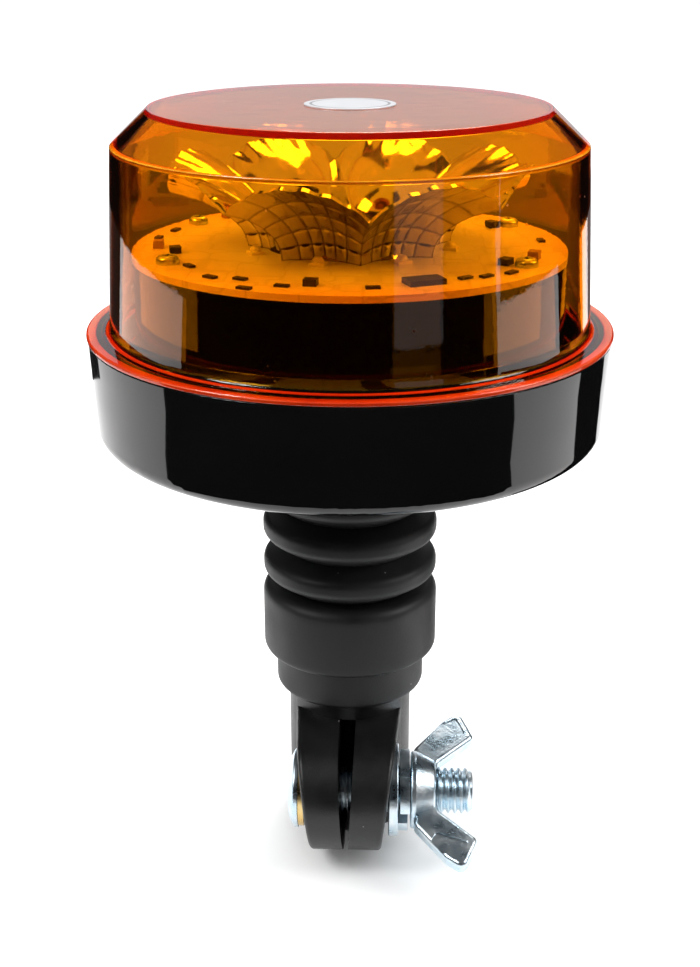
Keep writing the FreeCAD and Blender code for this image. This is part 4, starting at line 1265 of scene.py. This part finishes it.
@dataclass
class Reflector:
    """Eight metallised bowls back to back, each a bay of faceted paraboloid over its own lamp."""

    shop: Workshop
    at: Stations
    bays: int = 8
    start: float = 20.3
    side_focus: float = 7.4
    up_focus: float = 4.4
    reach: float = 43.6
    turn: float = -82.3
    skin: float = 1.1
    skin_foot: float = 0.9
    skin_rise: float = 0.45
    columns: int = 6
    rows: int = 5
    facet_steps: int = 9
    pillow: float = 0.5
    pillow_powers: tuple[int, int] = (3, 4)
    pillow_fade: float = 8.0
    # Where the painted shade in the grooves starts, how it fades near the rim and how it thins higher up.
    groove_shade_from: float = 0.8
    groove_shade_fade: float = 6.0
    groove_shade_thinning: float = 0.55
    lip_wave: float = 0.5
    lip_from: float = 0.8
    hub_height: float = 1.5
    hub_lap: float = 0.4
    hub_draft: float = 0.2
    lamp_ring: float = 25.2
    lamp_side: float = 3.5
    lamp_height: float = 0.8
    lamp_bevel: float = 0.12
    lamp_dome: tuple[Corner, ...] = (
        Corner(0, 0.7), Corner(1.35, 0.7), Corner(1.35, 1.3, 0.4), Corner(0.9, 1.95, 0.8),
        Corner(0, 2.15))

    def radius_at(self, angle: float, height: float) -> float:
        """The bowl's distance from the axis.

        Args:
            angle: the direction, off the bay's middle, in radians.
            height: the height over the board, in millimetres.

        Returns:
            The distance in millimetres.
        """
        bow = math.sin(angle) ** 2 / (4 * self.side_focus)
        offset = self.start + height ** 2 / (4 * self.up_focus)
        if bow < UNBOWED:
            return offset
        spread = max(math.cos(angle) ** 2 - 4 * bow * offset, 0.0)
        return (math.cos(angle) - math.sqrt(spread)) / (2 * bow)

    def rim_height(self, angle: float) -> float:
        """The height at which the bowl meets the rim's radius.

        Args:
            angle: the direction, off the bay's middle, in radians.

        Returns:
            The height over the board, in millimetres.
        """
        x, y = self.reach * math.cos(angle), self.reach * math.sin(angle)
        depth = x - self.start - y * y / (4 * self.side_focus)
        return 2 * math.sqrt(max(self.up_focus * depth, 0.0))

    def facet(self, across: float, up: float) -> tuple[float, float]:
        """A facet's form at shares across and up the bay.

        Args:
            across: the share of the bay's width, from its right side.
            up: the share of its height, from the board.

        Returns:
            How far the facet stands back from the bowl in millimetres, and how much painted shade
            the place gets as part of a groove, from 0 to 1.
        """
        u = abs(2 * ((across * self.columns) % 1.0) - 1)
        v = abs(2 * ((up * self.rows) % 1.0) - 1)
        power_across, power_up = self.pillow_powers
        fall = v ** power_up * min(1.0, (1 - up) * self.pillow_fade)
        crown = (1 - u ** power_across) * (1 - fall)
        level = v * min(1.0, (1 - up) * self.groove_shade_fade)
        edge = max(0.0, u - self.groove_shade_from, level - self.groove_shade_from) / (1 - self.groove_shade_from)
        return self.pillow * (1 - crown), edge * (1 - self.groove_shade_thinning * up)

    def bay_point(self, across: float, up: float, back: bool) -> tuple[Point, float]:
        """A point of the bay.

        Args:
            across: the share of the bay's width.
            up: the share of its height.
            back: whether the point is on the skin's back.

        Returns:
            The point in metres, and how much painted groove shade it gets.
        """
        angle = math.pi / self.bays * (2 * across - 1)
        height = up * self.rim_height(angle)
        radius = self.radius_at(angle, height)
        wave = 0.5 + 0.5 * math.cos(2 * math.pi * self.columns * across)
        height -= self.lip_wave * wave * max(0.0, up - self.lip_from) / (1 - self.lip_from)
        groove = 0.0
        if back:
            radius -= self.skin * (self.skin_foot + (1 - self.skin_foot) * up)
            height += self.skin * self.skin_rise * up
        else:
            depth, groove = self.facet(across, up)
            radius -= depth
        radius = min(radius, self.reach)
        return (radius * math.cos(angle) * MM, radius * math.sin(angle) * MM, height * MM), groove

    def bay_mesh(self) -> bpy.types.Mesh:
        """One bay as a closed skin, with its middle towards +X and its foot at the board.

        Returns:
            The skin's mesh, with the painted shade of its grooves marked in the attribute "groove".
        """
        wide, tall = self.columns * self.facet_steps, self.rows * self.facet_steps
        points = [self.bay_point(column / wide, row / tall, back) for back in (False, True)
                  for row in range(tall + 1) for column in range(wide + 1)]
        line = wide + 1
        plate = line * (tall + 1)
        faces: list[tuple[int, ...]] = []
        for row in range(tall):
            for column in range(wide):
                a = row * line + column
                faces.append((a, a + 1, a + line + 1, a + line))
                faces.append((plate + a, plate + a + line, plate + a + line + 1, plate + a + 1))
        for low in range(wide):
            high = tall * line + low
            faces.append((low, plate + low, plate + low + 1, low + 1))
            faces.append((high, high + 1, plate + high + 1, plate + high))
        mesh = bpy.data.meshes.new("bay")
        mesh.from_pydata([place for place, _ in points], [], faces)
        # The groove attribute carries only the finish's painted shade along the facet borders.
        marks = mesh.attributes.new("groove", "FLOAT", "POINT").data
        marks.foreach_set("value", [groove for _, groove in points])
        return mesh

    def lamp_mesh(self) -> bpy.types.Mesh:
        """One lamp: a square ceramic body with a domed lens.

        Returns:
            The lamp's mesh, standing on the origin.
        """
        size = Vector((self.lamp_side, self.lamp_side, self.lamp_height)) * MM
        middle = Vector((0, 0, self.lamp_height / 2)) * MM
        body = box_mesh("lamp_body", size, middle, bevel=self.lamp_bevel * MM)
        dome = rounded_outline(self.lamp_dome, closed=False)
        return settled(joined("lamp", [body, turned_mesh("dome", dome, closed=False, segments=32)]))

    def build(self) -> None:
        """Makes the bowls with their hub plate, and the lamps in front of them."""
        shop, at = self.shop, self.at
        start = math.radians(self.turn) + math.pi / self.bays
        bowls = new_object("reflector_bowls", self.bay_mesh())
        shop.ring_of_parts.apply(bowls, shop.materials[Slot.REFLECTOR_PLATE], Count=self.bays,
                                 Radius=0.0, Start=start, Height=at.board_top * MM)
        settled(bowls.data)
        hub_top = at.board_top + self.hub_height
        hub = rounded_outline([
            Corner(0, at.board_top), Corner(self.start + self.hub_lap, at.board_top),
            Corner(self.start - self.hub_draft, hub_top, 0.4), Corner(0, hub_top)], closed=False)
        hub_mesh = turned_mesh("hub_plate", hub, closed=False)
        whole = joined("reflector_bowls", [bowls.data.copy(), hub_mesh])
        whole.materials.append(shop.materials[Slot.REFLECTOR_PLATE])
        bowls.data = settled(whole, recalculate=False, angle=FACET_ANGLE)
        shop.mount(bowls, "head", Slot.REFLECTOR_PLATE, "reflector")
        lamp = new_object("lamp_packages", self.lamp_mesh())
        shop.ring_of_parts.apply(lamp, shop.materials[Slot.LED_PACKAGE], Count=self.bays,
                                 Radius=self.lamp_ring * MM, Start=start, Height=at.board_top * MM)
        shop.mount(lamp, "head", Slot.LED_PACKAGE, "leds")


@dataclass
class BellowsNeck:
    """The soft neck: collar and sleeve over the socket, and four bellows rings up to the base."""

    shop: Workshop
    at: Stations
    collar: float = 19.8
    collar_round: float = 2.9
    sleeve_foot: float = 50.8
    sleeve: float = 23.1
    sleeve_top: float = 69.55
    sleeve_round: float = 2.5
    shoulder_round: float = 5.0
    ring: float = 22.85
    ring_round: float = 2.5
    ring_foot: float = 0.36
    ring_head: float = 0.75
    pitch: float = 10.65
    groove: float = 17.3
    bore: float = 12.0
    grip: float = 16.65
    socket_top: float = 64.15
    throat: float = 15.0
    flange: float = 22.0
    flange_height: float = 3.2
    crown_gap: float = 0.15
    lead_steps: int = 10

    def ring_strip(self) -> bpy.types.Mesh:
        """The outside of one ring, from the groove under it to the groove over it.

        Returns:
            The strip's mesh, with its foot at height nought.
        """
        corners = [Corner(self.groove, 0.0),
                   Corner(self.ring, self.pitch * self.ring_foot, self.ring_round),
                   Corner(self.ring, self.pitch * self.ring_head, self.ring_round),
                   Corner(self.groove, self.pitch)]
        outline = rounded_outline(corners, closed=False, longest=0.8)
        return turned_mesh("ring_strip", outline, closed=False)

    def rings(self, name: str, first: int, count: int) -> bpy.types.Mesh:
        """Some of the rings as one open skin.

        Args:
            name: the name of the piece that they are for.
            first: the lowest ring's number, from nought.
            count: how many there are.

        Returns:
            The skin's mesh.
        """
        strip = new_object(name + "_rings", self.ring_strip())
        height = self.sleeve_top + first * self.pitch
        self.shop.stack_of_rings.apply(strip, self.shop.materials[Slot.NECK_RUBBER], Count=count,
                                       Pitch=self.pitch * MM, Height=height * MM)
        return mesh_of(strip)

    def skin(self, corners: Sequence[Corner]) -> bpy.types.Mesh:
        """An open turned skin, divided finely enough to bend."""
        return turned_mesh("skin", rounded_outline(corners, closed=False, longest=1.4),
                           closed=False)

    def half(self, name: str, meshes: Sequence[bpy.types.Mesh], bodies: tuple[str, str],
             start: float, end: float, *nodes: str) -> None:
        """Welds the skins of one half of the neck and hangs it between its two bodies.

        Args:
            name: the piece's name.
            meshes: its skins, rim to rim.
            bodies: the bodies under and over it.
            start: the height up to which it follows the lower body, in millimetres.
            end: the height from which it follows the upper body, in millimetres.
            nodes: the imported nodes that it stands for.
        """
        mesh = settled(joined(name, meshes), angle=SOFT_ANGLE)
        piece = new_object(name, mesh, self.shop.materials[Slot.NECK_RUBBER])
        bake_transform(piece, *bodies, start=(0, 0, start * MM), end=(0, 0, end * MM))
        self.shop.stand_for(piece, Slot.NECK_RUBBER, *nodes)

    def build(self) -> None:
        """Makes the two halves, which meet in the groove over the second ring, and the leads."""
        seam = self.sleeve_top + 2 * self.pitch
        neck_foot, neck_top = self.at.neck_foot, self.at.neck_top
        lower = self.skin([
            Corner(self.bore, seam), Corner(self.bore, self.socket_top),
            Corner(self.grip, self.socket_top), Corner(self.grip, neck_foot),
            Corner(self.collar, neck_foot, self.collar_round),
            Corner(self.collar, self.sleeve_foot, 0.3),
            Corner(self.sleeve, self.sleeve_foot, self.sleeve_round),
            Corner(self.sleeve, self.sleeve_top, self.shoulder_round),
            Corner(self.groove, self.sleeve_top)])
        across = self.skin([Corner(self.groove, seam), Corner(self.bore, seam)])
        self.half("neck_lower", [lower, self.rings("neck_lower", 0, 2), across],
                  ("socket", "neck"), self.sleeve_top, seam, "flexible_neck")
        crown_z = self.at.base_foot - self.crown_gap
        flange_foot = neck_top - self.flange_height
        upper = self.skin([
            Corner(self.groove, self.sleeve_top + 4 * self.pitch), Corner(self.groove, crown_z),
            Corner(self.throat, crown_z), Corner(self.throat, flange_foot),
            Corner(self.flange, flange_foot, 0.4), Corner(self.flange, neck_top, 0.4),
            Corner(self.bore, neck_top), Corner(self.bore, seam), Corner(self.groove, seam)])
        self.half("neck_upper", [upper, self.rings("neck_upper", 2, 2)], ("neck", "head"), seam,
                  self.at.base_foot)
        for node, slot in (("positive_lead", Slot.LEAD_RED), ("earth_lead", Slot.LEAD_BLACK)):
            self.lead(node, slot, seam)
    def lead(self, node: str, slot: Slot, seam: float) -> None:
        """Parts a lead at the neck's seam and hangs its two lengths as the neck's halves hang.

        Args:
            node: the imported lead.
            slot: the material slot of its finish.
            seam: the height at which the neck's halves meet, in millimetres.
        """
        spans = (("lower", ("socket", "neck"), self.sleeve_top, seam),
                 ("upper", ("neck", "head"), seam, self.at.base_foot))
        for part, bodies, start, end in spans:
            under = end == seam
            shape = bmesh.new()
            shape.from_mesh(self.shop.frame["nodes"][node].data)
            bmesh.ops.remove_doubles(shape, verts=shape.verts, dist=WELD / 2)
            for step in range(self.lead_steps + 1):
                height = (start + (end - start) * step / self.lead_steps) * MM
                at_seam = step == (self.lead_steps if under else 0)
                bmesh.ops.bisect_plane(shape, geom=[*shape.verts, *shape.edges, *shape.faces],
                                       plane_co=(0, 0, height), plane_no=(0, 0, 1),
                                       clear_inner=at_seam and not under,
                                       clear_outer=at_seam and under)
            mesh = bpy.data.meshes.new(f"{node}_{part}")
            shape.to_mesh(mesh)
            shape.free()
            piece = new_object(f"{node}_{part}", settled(close_ends(mesh)),
                               self.shop.materials[slot])
            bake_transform(piece, *bodies, start=(0, 0, start * MM), end=(0, 0, end * MM))
            self.shop.stand_for(piece, slot, *([node] if under else []))


# ---- Clamp --------------------------------------------------------------------------------


@dataclass
class ClampBolt:
    """The round-headed clamp bolt with its square neck and its cut thread."""

    shop: Workshop
    at: Stations
    head: float = 10.2
    head_height: float = 3.0
    head_edge: float = 1.2
    crown: float = 0.72
    crown_height: float = 0.9
    shank: float = 5.95
    root: float = 5.0
    pitch: float = 1.75
    rows_a_turn: int = 14
    segments: int = 65
    square: float = 12.0
    square_length: float = 7.4
    square_bevel: float = 1.0
    lap: float = 0.2

    def build(self) -> None:
        """Makes the head, the square neck and the thread as one piece."""
        at, shop = self.at, self.shop
        seat = at.bolt_head + self.head_height
        head = rounded_outline([
            Corner(0, 0), Corner(self.head, 0, 0.25), Corner(self.head, -self.head_edge, 0.6),
            Corner(self.head * self.crown, -self.head_height * self.crown_height, 3.5),
            Corner(0, -self.head_height)], closed=False, longest=1.5)
        head_mesh = turned_mesh("bolt_head", head, closed=False, segments=72)
        size = Vector((self.square, self.square, self.square_length)) * MM
        middle = Vector((0, 0, self.square_length / 2 - self.lap)) * MM
        neck = box_mesh("square_neck", size, middle, bevel=self.square_bevel * MM)
        thread = new_object("thread", bpy.data.meshes.new("thread"))
        length = at.bolt_end - seat
        shop.cut_thread.apply(
            thread, shop.materials[Slot.ZINC], Length=length * MM, Outer_Radius=self.shank * MM,
            Root_Radius=self.root * MM, Pitch=self.pitch * MM,
            Rows=int(length / self.pitch * self.rows_a_turn), Segments=self.segments)
        thread_mesh = settled(close_ends(mesh_of(thread)), angle=SOFT_ANGLE)
        mesh = joined("threaded_bolt", [head_mesh, neck, thread_mesh])
        mesh.transform(at.along_bolt(seat))
        piece = new_object("threaded_bolt", mesh, shop.materials[Slot.ZINC])
        shop.mount(piece, "socket", Slot.ZINC, "clamp_bolt")


# ---- Studio -------------------------------------------------------------------------------


@dataclass(frozen=True)
class Card:
    """A plain card of the room that only reflections and clear plastic show.

    Its bearings are the two directions that it lies between, in degrees from the object's front,
    positive to its right. Its reach and heights are those of its two edges, in metres. Its tone
    is how bright it is, where white is 1.
    """

    name: str
    tone: float
    bearings: tuple[float, float]
    reach: tuple[float, float]
    heights: tuple[float, float] = (0.0005, 0.0005)
    mirrored: bool = True
    through: bool = True
    coolness: float = 1.04
    widest: float = 8.0

    def build(self) -> None:
        """Makes the card and stands it in the room."""
        material, nodes = new_material(self.name)
        card = nodes.add("ShaderNodeEmission", {
            "Color": (self.tone, self.tone, self.tone * self.coolness, 1),
            "Strength": 1.0}).outputs[0]
        nodes.add("ShaderNodeOutputMaterial", {"Surface": card})
        first, last = self.bearings
        steps = max(2, math.ceil(abs(last - first) / self.widest))
        verts: list[Point] = []
        for step in range(steps + 1):
            bearing = math.radians(first + (last - first) * step / steps)
            for reach, height in zip(self.reach, self.heights):
                verts.append((reach * math.sin(bearing), -reach * math.cos(bearing), height))
        mesh = bpy.data.meshes.new(self.name)
        mesh.from_pydata(verts, [], [(2 * step, 2 * step + 1, 2 * step + 3, 2 * step + 2)
                                     for step in range(steps)])
        piece = new_object(self.name, mesh, material)
        piece.visible_camera = False
        piece.visible_diffuse = False
        piece.visible_shadow = False
        piece.visible_glossy = self.mirrored
        piece.visible_transmission = self.through


@dataclass(frozen=True)
class SoftBox:
    """A square lamp: where it stands and its side, in metres, its power in watts, and its aim."""

    name: str
    place: Point
    size: float
    power: float
    aim: Point = (0.0, 0.0, 0.1)

    def build(self) -> None:
        """Hangs the lamp."""
        data = bpy.data.lights.new(self.name, "AREA")
        data.shape = "SQUARE"
        data.size = self.size
        data.energy = self.power
        lamp = bpy.data.objects.new(self.name, data)
        lamp.location = self.place
        way = Vector(self.aim) - Vector(self.place)
        lamp.rotation_euler = way.to_track_quat("-Z", "Y").to_euler()
        bpy.context.scene.collection.objects.link(lamp)


@dataclass
class Studio:
    """The camera, the lamps, the white surroundings and the dark room behind the camera."""

    distance: float = 0.34706
    azimuth: float = 2.0
    eye: float = 0.23292
    pitch: float = 21.5
    focal: float = 53.22
    sensor: float = 36.0
    world_light: float = 0.55
    floor_half: float = 8.0
    floor_white: float = 0.9
    floor_lift: float = 0.52
    # Reach and power of the painted shadow that ambient occlusion puts on the floor's glow.
    shade_reach: float = 0.09
    shade_power: float = 1.6
    cards: tuple[Card, ...] = (
        Card("dark_floor", 0.003, (-78, 70), (0.13, 1.6)),
        Card("dark_wall", 0.003, (-80, 72), (1.6, 1.6), (0.0, 1.4)),
        Card("left_wall", 0.004, (-160, -72), (1.0, 1.0), (0.0, 0.42)),
        Card("right_wall", 0.004, (72, 160), (1.0, 1.0), (0.0, 0.42)),
        Card("left_flag", 0.02, (-151, -131), (0.42, 1.0)),
        Card("right_flag", 0.004, (111, 139), (0.1, 1.0)),
        Card("back_floor", 0.16, (150, 210), (0.5, 1.2)),
        Card("back_wall", 0.62, (155, 205), (1.2, 1.2), (0.0, 0.6)),
        Card("high_walls", 0.02, (0, 360), (1.7, 1.7), (0.4, 1.9), through=False),
        Card("ceiling", 0.03, (0, 360), (0.01, 1.7), (1.9, 1.9), through=False),
        *(Card(f"ceiling_gap_{index}", 0.05, bearings, (0.5, 1.7), (1.9, 1.9), mirrored=False)
          for index, bearings in enumerate(((12, 31), (101, 120), (197, 216), (281, 300)), 1)),
        Card("front_strip", 0.4, (21, 43), (0.9, 0.9), (-0.12, 0.35)))
    lamps: tuple[SoftBox, ...] = (
        SoftBox("key_left", (-0.9, -0.5, 1.1), 0.5, 10.0),
        SoftBox("fill_right", (1.1, -0.2, 0.9), 0.6, 7.5),
        SoftBox("back_top", (0.1, 0.9, 1.3), 0.7, 13.0))

    def camera(self) -> None:
        """Stands the camera in front, looking down at the axis."""
        data = bpy.data.cameras.new("camera")
        data.sensor_fit = "VERTICAL"
        data.sensor_height = self.sensor
        data.lens = self.focal
        data.clip_start = 0.01
        data.clip_end = 20.0
        eye = bpy.data.objects.new("camera", data)
        turn = math.radians(self.azimuth)
        eye.location = (self.distance * math.sin(turn), -self.distance * math.cos(turn), self.eye)
        eye.rotation_euler = (math.radians(90 - self.pitch), 0, turn)
        bpy.context.scene.collection.objects.link(eye)
        bpy.context.scene.camera = eye

    def world(self) -> None:
        """Plain soft light all round; eyes, metal and glass see it as white."""
        world = bpy.data.worlds.new("studio")
        bpy.context.scene.world = world
        world.use_nodes = True
        world.node_tree.nodes.clear()
        nodes = Nodes(world.node_tree)
        strength = nodes.in_range(nodes.background_seen(), self.world_light, 1.0)
        back = nodes.add("ShaderNodeBackground", {"Color": WHITE, "Strength": strength}).outputs[0]
        nodes.add("ShaderNodeOutputWorld", {"Surface": back})

    def floor(self) -> None:
        """A white floor that catches the object's shadow, with painted shadow where ambient occlusion dims
        its glow; it lights nothing more than white card would.
        """
        material, nodes = new_material("floor_card")
        # Painted shadow: ambient occlusion darkens the floor's glow under and around the object.
        open_sky = nodes.add("ShaderNodeAmbientOcclusion", {"Distance": self.shade_reach},
                             samples=8).outputs["AO"]
        lift = nodes.math("MULTIPLY", nodes.background_seen(), self.floor_lift)
        shaded = nodes.math("MULTIPLY", lift, nodes.math("POWER", open_sky, self.shade_power))
        white = rgba((self.floor_white,) * 3)
        card = nodes.add("ShaderNodeBsdfDiffuse", {"Color": white}).outputs[0]
        glow = nodes.add("ShaderNodeEmission", {"Color": WHITE, "Strength": shaded}).outputs[0]
        both = nodes.add("ShaderNodeAddShader", {0: card, 1: glow}).outputs[0]
        nodes.add("ShaderNodeOutputMaterial", {"Surface": both})
        far = self.floor_half
        mesh = bpy.data.meshes.new("floor")
        mesh.from_pydata([(-far, -far, 0), (far, -far, 0), (far, far, 0), (-far, far, 0)], [],
                         [(0, 1, 2, 3)])
        new_object("floor", mesh, material)

    def build(self) -> None:
        """Sets the stage: camera, world, floor, the room's cards and the lamps."""
        self.camera()
        self.world()
        self.floor()
        for fitting in (*self.cards, *self.lamps):
            fitting.build()
        bpy.context.scene.view_settings.view_transform = "Standard"


def main() -> None:
    """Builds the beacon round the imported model."""
    logging.basicConfig(level=logging.INFO, format="%(name)s: %(message)s")
    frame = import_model()
    Studio().build()
    shop = Workshop(frame)
    shop.dress_packed_nodes()
    at = Stations.read()
    Lens(shop, at).build()
    Reflector(shop, at).build()
    BellowsNeck(shop, at).build()
    ClampBolt(shop, at).build()
    for node, name, slot in (
            ("base_housing", "base_shell", Slot.BLACK_GLOSS),
            ("board_carrier", "board_drum", Slot.BLACK_GLOSS),
            ("pole_socket", "socket_body", Slot.SOCKET_PLASTIC),
            ("wing_nut", "winged_nut", Slot.ZINC),
            ("flat_washer", "washer_flat", Slot.ZINC),
            ("spring_washer", "washer_split", Slot.ZINC),
            ("head_washer", "washer_yellow", Slot.YELLOW_ZINC)):
        shop.smooth_skin(node, name, slot)
    spring = shop.smooth_skin("contact_spring", "contact_coil", Slot.SPRING_STEEL)
    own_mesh(spring)


if __name__ == "__main__":
    main()
